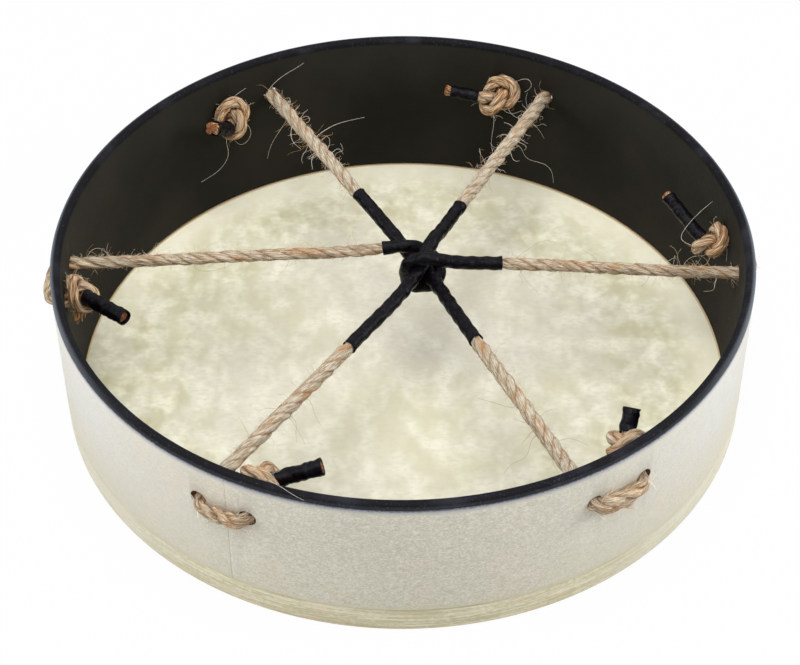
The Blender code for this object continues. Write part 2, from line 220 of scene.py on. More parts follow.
# Long pale loose fibres near the wall: the place in the rope where each is rooted, and then the points it
# passes, in millimetres
STRAYS = {
    "back_left_to_front_right": [
        [(-74.2, 154.9, 63.8), (-75.6, 150.0, 71.0), (-68.1, 153.6, 77.5), (-60.7, 156.7, 80.8),
         (-55.6, 158.5, 83.6)],
        [(-50.2, 114.3, 63.2), (-47.3, 115.3, 65.8), (-39.7, 123.5, 65.8), (-32.0, 128.0, 65.8),
         (-21.3, 131.7, 65.8)],
        [(-64.0, 137.7, 63.5), (-66.0, 145.8, 52.9), (-70.8, 143.5, 45.9), (-75.6, 141.0, 37.7),
         (-77.7, 139.9, 29.7)],
        [(-97.5, 130.4, 55.1), (-99.0, 125.7, 54.1), (-98.5, 126.1, 44.4), (-103.3, 122.2, 36.6),
         (-113.6, 112.7, 34.9)],
        [(-90.5, 130.5, 61.6), (-88.3, 133.4, 60.3), (-85.9, 135.0, 54.0), (-87.3, 134.1, 48.3),
         (-91.3, 131.4, 46.7), (-94.8, 128.9, 52.3)],
        [(-94.7, 140.9, 69.4), (-93.3, 132.4, 80.0), (-90.5, 134.3, 81.4), (-87.2, 136.5, 82.5)],
        [(-67.7, 143.9, 63.6), (-63.5, 146.6, 66.0), (-63.6, 138.7, 66.0), (-60.2, 135.6, 66.0),
         (-60.5, 129.4, 66.0)],
        [(-59.1, 129.4, 63.4), (-56.2, 131.0, 66.0), (-53.1, 132.5, 66.0), (-52.3, 127.8, 66.0),
         (-54.2, 126.4, 66.0)],
        [(-57.9, 127.4, 63.4), (-60.8, 126.0, 65.0), (-62.0, 116.9, 65.0), (-59.7, 109.3, 65.0),
         (-56.2, 104.9, 65.0)],
        [(-41.3, 99.1, 62.9), (-39.3, 100.3, 65.0), (-35.7, 104.9, 65.0), (-32.8, 100.3, 65.0)],
        [(-44.9, 105.3, 63.0), (-49.5, 98.7, 64.0), (-49.9, 94.0, 64.0), (-49.2, 88.4, 64.0)],
    ],
    "back_right_to_front_left": [
        [(61.0, 114.8, 64.5), (63.1, 136.1, 43.0), (66.6, 134.4, 41.8), (70.1, 132.6, 35.8),
         (79.0, 127.5, 35.7), (83.8, 124.4, 33.0), (85.4, 123.3, 24.9)],
        [(62.1, 157.5, 67.6), (64.7, 146.3, 80.2), (70.2, 143.8, 82.4), (71.6, 143.1, 78.5),
         (68.2, 144.7, 73.2)],
        [(58.9, 152.9, 58.8), (60.7, 148.0, 56.4), (64.9, 146.3, 53.7), (68.9, 144.4, 55.1)],
        [(62.8, 118.4, 64.4), (62.6, 118.1, 66.0), (59.5, 124.5, 66.0), (56.3, 126.3, 66.0)],
        [(54.0, 101.3, 64.7), (52.1, 101.9, 64.0), (47.0, 99.1, 64.0), (42.5, 94.0, 64.0)],
        [(59.9, 112.7, 64.5), (59.7, 113.1, 65.0), (56.0, 117.2, 65.0), (51.9, 114.5, 65.0)],
        [(56.6, 106.3, 64.6), (58.3, 105.4, 64.0), (60.9, 95.3, 64.0), (63.6, 95.3, 64.0)],
        [(59.9, 112.7, 64.5), (61.8, 111.3, 65.0), (67.6, 106.8, 65.0), (66.7, 102.9, 65.0)],
        [(72.0, 136.2, 64.1), (70.8, 141.2, 56.3), (74.9, 139.1, 53.6), (78.6, 137.1, 56.6),
         (80.8, 135.8, 56.2)],
        [(48.7, 150.5, 56.6), (51.3, 151.6, 52.7), (51.6, 151.5, 42.6), (50.8, 151.7, 31.3),
         (51.5, 151.5, 25.6)],
        [(56.8, 153.5, 58.1), (57.0, 151.7, 55.5), (61.5, 149.9, 54.0), (67.0, 147.5, 57.9)],
        [(-63.2, -148.4, 75.2), (-60.0, -164.2, 90.8), (-54.9, -167.8, 91.0), (-49.5, -171.0, 89.4),
         (-44.1, -173.2, 87.6)],
    ],
    "left_to_right": [
        [(155.2, 30.7, 57.7), (152.0, 31.2, 58.8), (146.7, 33.3, 61.1), (148.3, 37.0, 64.9),
         (155.2, 42.5, 70.6), (163.1, 47.3, 75.5)],
        [(166.3, 33.3, 67.8), (167.3, 33.0, 66.9), (168.9, 30.1, 63.9), (169.9, 25.7, 59.3),
         (169.4, 22.1, 55.5)],
        [(161.8, 28.5, 57.4), (158.6, 28.5, 54.1), (153.3, 28.1, 53.7), (149.1, 26.3, 51.8),
         (147.5, 24.1, 49.5)],
        [(161.8, 28.5, 57.4), (161.8, 28.2, 53.7), (160.2, 25.6, 51.0), (157.0, 24.8, 50.2),
         (154.3, 26.7, 52.2)],
        [(155.1, 31.2, 57.1), (157.5, 29.2, 54.8), (155.9, 26.3, 51.8), (152.2, 23.4, 48.7)],
        [(-163.8, 12.5, 63.8), (-163.5, 13.5, 67.4), (-159.8, 16.4, 70.4), (-155.7, 16.1, 70.0),
         (-151.0, 12.8, 66.6)],
        [(162.1, 4.0, 64.1), (162.0, 2.7, 62.0), (160.2, -2.9, 62.0), (159.0, -7.0, 62.0), (154.0, -8.0, 62.0)],
        [(130.9, 5.2, 64.8), (131.1, 9.7, 62.0), (135.4, 13.3, 62.0), (141.4, 18.0, 62.0)],
    ],
}

# Long loose fibres over the head, in the same way, painted grey as shaded copies of the pale ones
HEAD_STRAYS = {
    "back_left_to_front_right": [
        [(57.2, -87.6, 62.8), (53.8, -89.4, 61.0), (45.3, -86.8, 61.0), (36.4, -83.4, 61.0)],
        [(65.0, -104.3, 63.1), (62.0, -105.6, 61.0), (59.4, -109.5, 61.0), (56.6, -113.7, 61.0)],
        [(62.3, -98.5, 63.0), (58.7, -100.0, 61.0), (56.1, -98.4, 61.0), (53.2, -97.3, 61.0)],
        [(73.9, -123.1, 63.4), (70.9, -124.6, 62.0), (71.8, -129.7, 62.0), (73.4, -133.7, 62.0)],
        [(66.7, -107.9, 63.1), (62.0, -110.8, 61.0), (58.3, -122.0, 61.0), (52.1, -126.5, 61.0),
         (47.8, -132.4, 61.0)],
        [(69.8, -114.4, 63.2), (73.0, -113.1, 62.0), (79.0, -111.4, 62.0), (83.7, -112.8, 62.0),
         (88.2, -116.0, 62.0)],
        [(62.6, -99.2, 63.0), (64.3, -98.4, 61.0), (68.8, -93.0, 61.0), (74.8, -90.4, 61.0)],
    ],
    "back_right_to_front_left": [
        [(-56.0, -93.8, 64.5), (-59.4, -90.9, 61.0), (-64.8, -89.7, 61.0), (-69.2, -91.1, 61.0)],
        [(-56.9, -95.1, 64.5), (-60.8, -91.0, 61.0), (-64.5, -95.0, 61.0), (-66.7, -99.2, 61.0)],
        [(-49.1, -83.9, 64.6), (-44.6, -86.3, 61.0), (-42.6, -94.0, 61.0), (-39.3, -101.6, 61.0)],
        [(-57.3, -95.8, 64.5), (-53.8, -97.7, 61.0), (-49.6, -106.3, 61.0), (-46.6, -113.7, 61.0)],
        [(-56.9, -95.1, 64.5), (-51.8, -98.4, 61.0), (-51.2, -105.6, 61.0), (-50.4, -112.8, 61.0)],
        [(-41.4, -72.7, 64.8), (-44.7, -69.2, 61.0), (-46.1, -65.8, 61.0), (-47.9, -62.8, 61.0)],
        [(-40.0, -70.7, 64.8), (-43.4, -65.8, 61.0), (-44.5, -62.3, 61.0), (-45.8, -59.8, 61.0)],
    ],
    "left_to_right": [
        [(-107.9, 15.7, 64.1), (-107.8, 12.7, 59.8), (-98.3, 11.1, 59.8), (-89.2, 15.8, 59.8)],
        [(126.9, 5.4, 64.9), (127.2, 5.4, 61.0), (125.4, 0.5, 61.0), (122.3, -3.1, 61.0)],
        [(57.4, 8.3, 66.6), (58.0, 18.2, 60.0), (65.3, 26.6, 60.0), (75.0, 33.7, 60.0), (80.8, 31.9, 60.0)],
        [(61.4, 8.0, 66.6), (61.1, 8.8, 60.0), (67.4, -3.4, 60.0), (69.5, -7.7, 60.0)],
        [(103.8, 6.3, 65.5), (103.7, 9.3, 61.0), (99.2, 20.2, 61.0), (95.3, 23.7, 61.0)],
    ],
}
STRAY_THICKNESS = 0.00024
STRAY_TONE = 0.8
SHADED_STRAY_TONE = 1.5

# The shrunk tubes on the ropes: shares of their radius, and the lengths over which their ends flare and
# over which they stay fuller to either side of the crossing
TUBE_SIDES = 36
TUBE_LOBES = 0.030
TUBE_CREASE = 0.034
CREASE_WAVES = (0, 4), (250, 1000)
TAIL_CRINKLE = 0.050
CRINKLE_WAVES = (0, 3), (1100, 2300)
TUBE_FLARE = 0.09
TUBE_FLARE_LENGTH = 0.0018
TUBE_FLARE_LEAN = 0.8
CROSSING_FULLNESS = 0.15
CROSSING_LENGTH = 0.022

# The frayed tuft that hangs from the left knot: the points it passes in millimetres, how many fibres it has,
# how far they spread and how far they curl in millimetres, how they open from root to tip in radians, how much
# of it the shortest and longest run along, their tones and how thick they are
TUFT_ROPE = "left_to_right"
TUFT = [(-165.0, -9.5, 67.3), (-165.4, -13.0, 61.8), (-165.6, -17.0, 57.8), (-165.5, -20.5, 54.3)]
TUFT_COUNT = 110
TUFT_SPREAD = (1.7, 1.2)
TUFT_OPENING = (0.5, 2.2)
TUFT_REACH = (0.55, 1.0)
TUFT_TONES = (-0.8, 0.0)
TUFT_THICKNESS = 0.0010

# Kinds of short loose fibre: how many to a metre, the least and most length, the thickness, how far they
# stand up and how much they curl; then the same for the loose strands on the stitches, and what all share
FUZZ = [
    (4200, 0.0010, 0.0034, 0.00013, 0.40, 0.5),
    (1000, 0.0030, 0.0070, 0.00016, 0.60, 0.9),
    (220, 0.0070, 0.0150, 0.00017, 0.75, 1.2),
]
STITCH_STRANDS = (800, 0.0050, 0.0110, 0.00042, 0.20, 0.8)
FUZZ_TONES = (-0.3, 1)
FIBRE_GIRTHS = (0.7, 1.3)
FIBRE_WANDERS = (0.22, 0.70)
FIBRE_CURL_RATES = (3.0, 8.0)
TUBE_CLEARANCE = 0.0005
CUT_END_CLEARANCE = 0.002
HOLE_CLEARANCE = 0.004
FIBRE_CLEARANCE = 0.0060
FIBRE_ROOT_SHARE = 0.90

# How thick the short fibres grow on the knots, and on each rope's stitches, against the arms
KNOT_FUZZ = 0.5
STITCH_FUZZ = {
    "back_left_to_front_right": 1.0,
    "back_right_to_front_left": 1.0,
    "left_to_right": 0.12,
}
FIBRE_SIDES = 3
FIBRE_POINTS = 8

# The camera: where it stands, how it is turned in radians, and its lens in millimetres
CAMERA_PLACE = (0.00282, -0.80815, 0.80104)
CAMERA_PAN = -0.0055
CAMERA_TILT = 0.76478
CAMERA_ROLL = -0.00574
CAMERA_LENS = 95.67
SENSOR_WIDTH = 36.0

# The stage: the white floor and sky that the camera sees, and round lamps by their place, the point they
# aim at, their size in metres and their power in watts
FLOOR_SIZE = 12.0
FLOOR_LEVEL = -0.0002
FLOOR_WHITENESS = 0.965
SKY_STRENGTH = 0.32
LAMPS = {
    "key_softbox": ((-0.15, -0.70, 1.45), (0, 0, 0), 0.9, 11.0),
    "overhead_softbox": ((0.0, 0.10, 1.6), (0, 0, 0), 0.8, 10.0),
    "left_softbox": ((-1.4, -0.25, 0.75), (0, 0, 0.05), 0.8, 10.0),
    "right_softbox": ((1.4, -0.15, 0.75), (0, 0, 0.05), 0.8, 13.0),
}
WHITE = (1.0, 1.0, 1.0, 1.0)

# Sizes that follow from those above
OUTER_RADIUS = DRUM_DIAMETER / 2
SHELL_OUTER = OUTER_RADIUS - WRAP_THICKNESS - SEAT_GAP
SHELL_INNER = SHELL_OUTER - SHELL_WALL
FOOT_INNER = SHELL_INNER - FOOT_FLARE
HOLE_DEPTH = OUTER_RADIUS - SHELL_INNER
COLLAR_OUTER = SHELL_OUTER + SEAT_GAP + FILM_THICKNESS
SHELL_FOOT = FILM_THICKNESS + SEAT_GAP
ROPE_RADIUS = ROPE_DIAMETER / 2
KNOTTED_RADIUS = ROPE_RADIUS * KNOTTED_ROPE_SHARE
KNOT_WIDTH = (2 * KNOTTED_RADIUS + SEAT_GAP) / KNOT_LEAST_SPACING
STITCH_RADIUS = OUTER_RADIUS + ROPE_RADIUS + STITCH_REST_GAP
SLEEVE_SPACING = SLEEVE_DIAMETER + SEAT_GAP


# Plain helpers for places, meshes and pieces

def linear(red, green, blue):
    shares = [part / 255 for part in (red, green, blue)]
    return (*[s / 12.92 if s <= 0.04045 else ((s + 0.055) / 1.055) ** 2.4 for s in shares], 1.0)


def around(angle, radius, height):
    return np.array([radius * math.cos(angle), radius * math.sin(angle), height])


def smooth_step(value):
    share = np.clip(value, 0, 1)
    return share * share * (3 - 2 * share)


def unit(vectors):
    return vectors / np.linalg.norm(vectors, axis=-1, keepdims=True)


def finish_piece(item, material, slot, *nodes):
    # The piece takes its material, rides on the drum and stands for its CAD nodes
    if material.name not in item.data.materials:
        item.data.materials.append(material)
    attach(item, "root")
    if nodes:
        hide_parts(*nodes)


def pick(item):
    bpy.ops.object.select_all(action="DESELECT")
    item.select_set(True)
    bpy.context.view_layer.objects.active = item


def smooth_over(item):
    # Shade smoothly across all but its sharper edges
    pick(item)
    bpy.ops.object.shade_smooth_by_angle(angle=math.radians(SMOOTH_BELOW))


def add_cylinder(name, radius, bottom, top, capped):
    bpy.ops.object.select_all(action="DESELECT")
    bpy.ops.mesh.primitive_cylinder_add(
        vertices=ROUND_STEPS, radius=radius, depth=top - bottom, location=(0, 0, (bottom + top) / 2),
        end_fill_type="NGON" if capped else "NOTHING")
    bpy.ops.object.transform_apply(location=True, rotation=True, scale=True)
    item = bpy.context.object
    item.name = name
    item.data.name = name
    return item


def turn_round(name, outline):
    # A closed outline of radii and heights, turned round the drum's axis
    mesh = bpy.data.meshes.new(name)
    count = len(outline)
    places = [(radius, 0, height) for radius, height in outline]
    mesh.from_pydata(places, [(i, (i + 1) % count) for i in range(count)], [])
    item = bpy.data.objects.new(name, mesh)
    bpy.context.scene.collection.objects.link(item)
    turn = item.modifiers.new("Turn", "SCREW")
    turn.steps = ROUND_STEPS
    turn.render_steps = ROUND_STEPS
    turn.use_merge_vertices = True
    apply_modifier(item, turn)
    bpy.ops.object.mode_set(mode="EDIT")
    bpy.ops.mesh.select_all(action="SELECT")
    bpy.ops.mesh.normals_make_consistent(inside=False)
    bpy.ops.object.mode_set(mode="OBJECT")
    return item


def apply_modifier(item, modifier):
    pick(item)
    bpy.ops.object.modifier_apply(modifier=modifier.name)


def thicken(item, thickness):
    wall = item.modifiers.new("Wall", "SOLIDIFY")
    wall.thickness = thickness
    wall.offset = -1
    wall.use_even_offset = True
    apply_modifier(item, wall)


def round_edge(item, radius, height, width, steps):
    # Bevel the one ring of edges at a radius and a height
    bpy.ops.object.mode_set(mode="EDIT")
    bpy.ops.mesh.select_mode(type="EDGE")
    bpy.ops.mesh.select_all(action="DESELECT")
    shape = bmesh.from_edit_mesh(item.data)
    for edge in shape.edges:
        ends = [vertex.co for vertex in edge.verts]
        across, up = [math.hypot(e.x, e.y) - radius for e in ends], [e.z - height for e in ends]
        edge.select_set(all(abs(away) < ON_RING for away in across + up))
    bmesh.update_edit_mesh(item.data)
    bpy.ops.mesh.bevel(offset=width, segments=steps, profile=0.5, affect="EDGES")
    bpy.ops.object.mode_set(mode="OBJECT")


def cut_with(item, cutter):
    tool = item.modifiers.new("Cut", "BOOLEAN")
    tool.operation = "DIFFERENCE"
    tool.solver = "EXACT"
    tool.material_mode = "TRANSFER"
    tool.object = cutter
    apply_modifier(item, tool)


def soften_corners(item, width):
    tool = item.modifiers.new("Corners", "BEVEL")
    tool.width = width
    tool.segments = 2
    tool.limit_method = "ANGLE"
    tool.angle_limit = math.radians(SHARP_CORNER)
    apply_modifier(item, tool)


def skin(rings, looped=False):
    # Quads over rings of points: capped at both ends, or looped back from the last ring to the first
    count, sides = rings.shape[:2]
    index = np.arange(count * sides).reshape(count, sides)
    after = np.roll(index, -1, axis=1)
    if looped:
        upper, upper_after = np.roll(index, -1, axis=0), np.roll(after, -1, axis=0)
        low, low_after = index, after
    else:
        upper, upper_after, low, low_after = index[1:], after[1:], index[:-1], after[:-1]
    quads = np.stack([low, low_after, upper_after, upper], axis=-1).reshape(-1, 4).tolist()
    caps = [] if looped else [index[0][::-1].tolist(), index[-1].tolist()]
    return rings.reshape(-1, 3), quads + caps


def add_mesh(name, skins, values=None):
    # One object from several skins, facing out, with named values on its points
    places, faces, start = [], [], 0
    for points, quads in skins:
        places.append(points)
        faces += [[start + corner for corner in face] for face in quads]
        start += len(points)
    places = np.concatenate(places)
    mesh = bpy.data.meshes.new(name)
    mesh.from_pydata(places.tolist(), [], faces)
    for label, numbers in (values or {}).items():
        kind = "FLOAT_VECTOR" if numbers.ndim == 2 else "FLOAT"
        field = "vector" if numbers.ndim == 2 else "value"
        layer = mesh.attributes.new(label, kind, "POINT")
        layer.data.foreach_set(field, numbers.astype(np.float32).ravel())
    shape = bmesh.new()
    shape.from_mesh(mesh)
    if shape.calc_volume(signed=True) < 0:
        bmesh.ops.reverse_faces(shape, faces=shape.faces)
    for face in shape.faces:
        face.smooth = True
    shape.to_mesh(mesh)
    shape.free()
    item = bpy.data.objects.new(name, mesh)
    bpy.context.scene.collection.objects.link(item)
    return item


# Routes of the ropes, as the CAD has them

def knot_hole_angle(station):
    return math.radians(STATIONS[station][0]) + STATIONS[station][1] / OUTER_RADIUS


def spline(waypoints, step):
    # A smooth curve through the waypoints, as points a step apart
    points = np.array(waypoints)
    spans = np.sqrt(np.linalg.norm(np.diff(points, axis=0), axis=1))
    count = len(points)
    system = np.eye(count)
    side = np.zeros((count, 3))
    for i in range(1, count - 1):
        before, after = spans[i - 1], spans[i]
        system[i, i - 1:i + 2] = before, 2 * (before + after), after
        side[i] = 6 * ((points[i + 1] - points[i]) / after - (points[i] - points[i - 1]) / before)
    bend = np.linalg.solve(system, side)
    fine = [points[0]]
    for i, span in enumerate(spans):
        pieces = 2 + int(2 * span * span / step)
        for share in np.arange(1, pieces + 1) / pieces:
            rest = 1 - share
            fine.append(
                rest * points[i] + share * points[i + 1]
                + ((rest ** 3 - rest) * bend[i] + (share ** 3 - share) * bend[i + 1]) * span * span / 6)
    fine = np.array(fine)
    length = run_lengths(fine)
    even = np.linspace(0, length[-1], int(length[-1] / step) + 1)
    return np.stack([np.interp(even, length, fine[:, axis]) for axis in range(3)], axis=1)


def run_lengths(points):
    return np.concatenate([[0.0], np.cumsum(np.linalg.norm(np.diff(points, axis=0), axis=1))])


def stitch_waypoints(station):
    # Out through the arm's hole, along the outside of the wall, and in through the knot's hole
    degrees, pitch = STATIONS[station][:2]
    straight = STITCH_RADIUS - STITCH_BEND
    rises = [(0.0, SHELL_INNER - SEAT_GAP), (0.0, (SHELL_INNER + OUTER_RADIUS) / 2)]
    for turn in np.radians(STITCH_TURNS):
        rises.append((STITCH_BEND * (1 - math.cos(turn)), straight + STITCH_BEND * math.sin(turn)))
    rises.append((pitch / 2, STITCH_RADIUS))
    falls = [(pitch - along, radius) for along, radius in rises[-2::-1]]
    points = []
    for along, radius in rises + falls:
        sag = STITCH_SAG * math.sin(math.pi * along / pitch) ** 2
        points.append(around(math.radians(degrees) + along / OUTER_RADIUS, radius, HOLE_LEVEL - sag))
    return points


def knot_waypoints(station):
    # The stopper knot on the inside of the wall, and the tail beyond it
    shift, roll, tail = STATIONS[station][2:5]
    angle = knot_hole_angle(station)
    cosine, sine = math.cos(math.radians(roll)), math.sin(math.radians(roll))
    snug = KNOTTED_RADIUS + KNOT_REST_GAP - KNOT_NEAREST_WALL * KNOT_WIDTH
    inward = -around(angle, 1, 0)
    along = np.array([-math.sin(angle), math.cos(angle), 0])
    up = np.array([0, 0, 1])
    start = around(angle, SHELL_INNER, HOLE_LEVEL)
    start = start + (snug + shift[0]) * inward + shift[1] * along + shift[2] * up
    offsets = []
    for deep, side, high in OVERHAND:
        turned_side, turned_high = side * cosine - high * sine, side * sine + high * cosine
        offsets.append(KNOT_WIDTH * (deep * inward + turned_side * along + turned_high * up))
    points = [start + KNOT_SIZES[station] * offset for offset in offsets]
    reach = tail[0] * along + tail[1] * inward + tail[2] * up + start + offsets[-1] - points[-1]
    return points + [points[-1] + reach / 3, points[-1] + reach * 2 / 3, points[-1] + reach]


def arm_waypoints(wall, middle):
    return [wall + (middle - wall) * share for share in ARM_SHARES]


def nearest(points, place):
    return int(np.argmin(np.linalg.norm(points - place, axis=1)))


def rope_route(name):
    # The rope's points, and how far along it its crossing, walls and knot exits are
    first, second, crossing = ROPES[name][:3]
    centre = np.array([*CROSSING, HOLE_LEVEL])
    middle = [centre + SLEEVE_SPACING * np.array(offset) for offset in crossing]
    stitches = [stitch_waypoints(station) for station in (first, second)]
    knots = [knot_waypoints(station) for station in (first, second)]
    way = (stitches[0] + knots[0])[::-1] + arm_waypoints(stitches[0][0], middle[0]) + middle
    way += arm_waypoints(stitches[1][0], middle[-1])[::-1] + stitches[1] + knots[1]
    points = spline(way, ROUTE_STEP)
    length = run_lengths(points)
    marks = {
        "crossing": length[nearest(points, middle[len(middle) // 2])],
        "walls": [length[nearest(points, stitch[-1])] for stitch in stitches],
        "arms": [length[nearest(points, stitch[0])] for stitch in stitches],
        "exits": [length[nearest(points, knot[len(OVERHAND) - 1])] for knot in knots],
    }
    return points, length, marks


def tube_spans(name, length, marks):
    # Where along the rope its grip tube and its two tail tubes begin and end, and their girth
    first, second, _, reach_first, reach_second = ROPES[name]
    girth_first, cover_first, bare_first = TAIL_TUBES[first]
    girth_second, cover_second, bare_second = TAIL_TUBES[second]
    return {
        "grip_sleeve_" + name: (marks["crossing"] - reach_first, marks["crossing"] + reach_second, 1.0),
        "end_sleeve_" + first: (bare_first, marks["exits"][0] + cover_first, girth_first),
        "end_sleeve_" + second: (marks["exits"][1] - cover_second, length[-1] - bare_second, girth_second),
    }


def frames_along(points):
    # At each point a heading and two axes square to it, carried along without twist
    heading = unit(np.gradient(points, axis=0))
    side = np.empty_like(points)
    side[0] = unit(np.cross(heading[0], (0.3, 0.2, 1.0)))
    for i in range(1, len(points)):
        side[i] = unit(side[i - 1] - heading[i] * (side[i - 1] @ heading[i]))
    return heading, side, np.cross(heading, side)


# Shader nodes

def join(tree, socket, value):
    if isinstance(value, bpy.types.NodeSocket):
        tree.links.new(value, socket)
    else:
        socket.default_value = value


def add_node(tree, kind, inputs=None, **settings):
    made = tree.nodes.new(kind)
    for label, value in settings.items():
        setattr(made, label, value)
    for label, value in (inputs or {}).items():
        join(tree, made.inputs[label], value)
    return made


def mix(tree, share, first, second, blend="MIX"):
    made = add_node(tree, "ShaderNodeMix", {0: share, 6: first, 7: second}, data_type="RGBA", blend_type=blend)
    return made.outputs[2]


def math_node(tree, operation, first, second=0.0):
    return add_node(tree, "ShaderNodeMath", {0: first, 1: second}, operation=operation).outputs[0]


def band(tree, value, low, high, to_low=0.0, to_high=1.0):
    # A value run smoothly from one level to another
    made = add_node(
        tree, "ShaderNodeMapRange",
        {"Value": value, "From Min": low, "From Max": high, "To Min": to_low, "To Max": to_high},
        interpolation_type="SMOOTHSTEP")
    return made.outputs["Result"]


def tint(tree, colour, over, value, low, high, most=1.0):
    # A second colour over the first, as far as a value runs from low to high
    return mix(tree, band(tree, value, low, high, 0.0, most), colour, over)


def times(tree, first, second):
    return math_node(tree, "MULTIPLY", first, second)


def plus(tree, first, second):
    return math_node(tree, "ADD", first, second)


def noise(tree, place, scale, detail=3.0, roughness=0.55, distortion=0.0):
    made = add_node(
        tree, "ShaderNodeTexNoise",
        {"Vector": place, "Scale": scale, "Detail": detail, "Roughness": roughness, "Distortion": distortion})
    return made.outputs["Fac"]


def stretched(tree, place, stretch, turn=(0.0, 0.0, 0.0)):
    made = add_node(tree, "ShaderNodeMapping", {"Vector": place, "Scale": stretch, "Rotation": turn})
    return made.outputs["Vector"]


def new_material(name):
    made = bpy.data.materials.new(name)
    made.use_nodes = True
    tree = made.node_tree
    return made, tree, tree.nodes["Principled BSDF"]


def object_place(tree):
    return add_node(tree, "ShaderNodeTexCoord").outputs["Object"]


def attribute(tree, label):
    return add_node(tree, "ShaderNodeAttribute", attribute_name=label)


def bump(tree, height, strength, distance):
    made = add_node(tree, "ShaderNodeBump", {"Height": height, "Strength": strength, "Distance": distance})
    return made.outputs["Normal"]


def place_parts(tree, place):
    return add_node(tree, "ShaderNodeSeparateXYZ", {"Vector": place}).outputs


def coat(tree, shader, colour, roughness, specular, normal=None):
    # What a finish gives its shader: links or plain values
    given = {"Base Color": colour, "Roughness": roughness, "Specular IOR Level": specular}
    if normal is not None:
        given["Normal"] = normal
    for label, value in given.items():
        join(tree, shader.inputs[label], value)


def distance_from_axis(tree, place):
    flat = add_node(tree, "ShaderNodeVectorMath", {0: place, 1: (1.0, 1.0, 0.0)}, operation="MULTIPLY")
    length = add_node(tree, "ShaderNodeVectorMath", {0: flat.outputs["Vector"]}, operation="LENGTH")
    return length.outputs["Value"]


def new_group(name, inputs, outputs):
    group = bpy.data.node_groups.new(name, "ShaderNodeTree")
    for side, sockets in (("INPUT", inputs), ("OUTPUT", outputs)):
        for label, kind in sockets.items():
            group.interface.new_socket(label, in_out=side, socket_type="NodeSocket" + kind)
    return group, add_node(group, "NodeGroupInput").outputs, add_node(group, "NodeGroupOutput").inputs


def make_mottle_group():
    # Soft patches of a second colour over a first
    group, given, result = new_group(
        "mottle",
        {"Place": "Vector", "Scale": "Float", "Detail": "Float", "Low": "Float", "High": "Float",
         "Amount": "Float", "Colour": "Color", "Patch Colour": "Color"},
        {"Colour": "Color", "Mask": "Float"})
    patches = noise(group, given["Place"], given["Scale"], given["Detail"])
    mask = band(group, patches, given["Low"], given["High"], 0.0, given["Amount"])
    join(group, result["Colour"], mix(group, mask, given["Colour"], given["Patch Colour"]))
    join(group, result["Mask"], mask)


def make_grain_group():
    # Fine grain, as a value and as a bumped normal
    group, given, result = new_group(
        "grain",
        {"Place": "Vector", "Scale": "Float", "Detail": "Float", "Strength": "Float", "Depth": "Float"},
        {"Value": "Float", "Normal": "Vector"})
    value = noise(group, given["Place"], given["Scale"], given["Detail"], 0.6)
    join(group, result["Value"], value)
    join(group, result["Normal"], bump(group, value, given["Strength"], given["Depth"]))


def mottle(tree, colour, patch, place, scale, low, high, amount=1.0, detail=3.0):
    made = add_node(
        tree, "ShaderNodeGroup",
        {"Place": place, "Scale": scale, "Detail": detail, "Low": low, "High": high, "Amount": amount,
         "Colour": colour, "Patch Colour": patch},
        node_tree=bpy.data.node_groups["mottle"])
    return made.outputs["Colour"]


def grain(tree, place, scale, detail, strength, depth):
    made = add_node(
        tree, "ShaderNodeGroup",
        {"Place": place, "Scale": scale, "Detail": detail, "Strength": strength, "Depth": depth},
        node_tree=bpy.data.node_groups["grain"])
    return made.outputs["Value"], made.outputs["Normal"]


# Finishes

def black_fibre_finish():
    # Pressed fibre painted black: matt and a little cloudy inside, lighter towards the top as painted light,
    # scuffed on the lip, and with a painted sheen along its outer edge
    made, tree, shader = new_material("black pressed fibre")
    place = object_place(tree)
    parts = place_parts(tree, place)
    height = parts["Z"]
    radius = distance_from_axis(tree, place)
    speck, normal = grain(tree, place, 900.0, 2.0, 0.2, 0.0005)
    matt = mottle(tree, linear(27, 25, 20), linear(36, 34, 28), place, 16.0, 0.35, 0.70, 1.0, 4.0)
    # Painted light: the inside wall lighter towards the top
    matt = tint(tree, matt, linear(48, 46, 41), height, 0.050, 0.088, 0.4)
    matt = tint(tree, matt, linear(58, 55, 50), speck, 0.60, 0.80, 0.25)
    painted = mottle(tree, linear(14, 14, 18), linear(46, 47, 54), place, 38.0, 0.50, 0.78, 0.8, 4.0)
    painted = tint(tree, painted, linear(74, 76, 86), speck, 0.58, 0.76, 0.5)
    # A painted sheen along the lip's outer edge, wide at the back and narrow at the front
    sheen_radius = plus(tree, radius, times(tree, speck, 0.0004))
    sheen_back = band(tree, sheen_radius, OUTER_RADIUS - 0.0022, OUTER_RADIUS + 0.0004, 0.0, 0.85)
    sheen_front = band(tree, sheen_radius, OUTER_RADIUS - 0.0002, OUTER_RADIUS + 0.0006, 0.0, 0.25)
    edge_sheen = mix(tree, band(tree, parts["Y"], -0.13, -0.03), sheen_front, sheen_back)
    painted = mix(tree, edge_sheen, painted, linear(118, 124, 132))
    on_lip = band(tree, height, DRUM_HEIGHT - 1.2 * LIP_HEIGHT, DRUM_HEIGHT - 0.6 * LIP_HEIGHT)
    roughness = band(tree, speck, 0.30, 0.75, 0.66, 0.78)
    coat(tree, shader, mix(tree, on_lip, matt, painted), roughness, 0.10, normal)
    return made


def raw_fibre_finish():
    # The bare brown fibre in the walls of the rope holes
    made, tree, shader = new_material("raw fibre")
    place = object_place(tree)
    speck, normal = grain(tree, place, 1400.0, 3.0, 0.4, 0.0003)
    coat(tree, shader, mix(tree, speck, linear(70, 44, 26), linear(140, 92, 58)), 0.55, 0.5, normal)
    return made


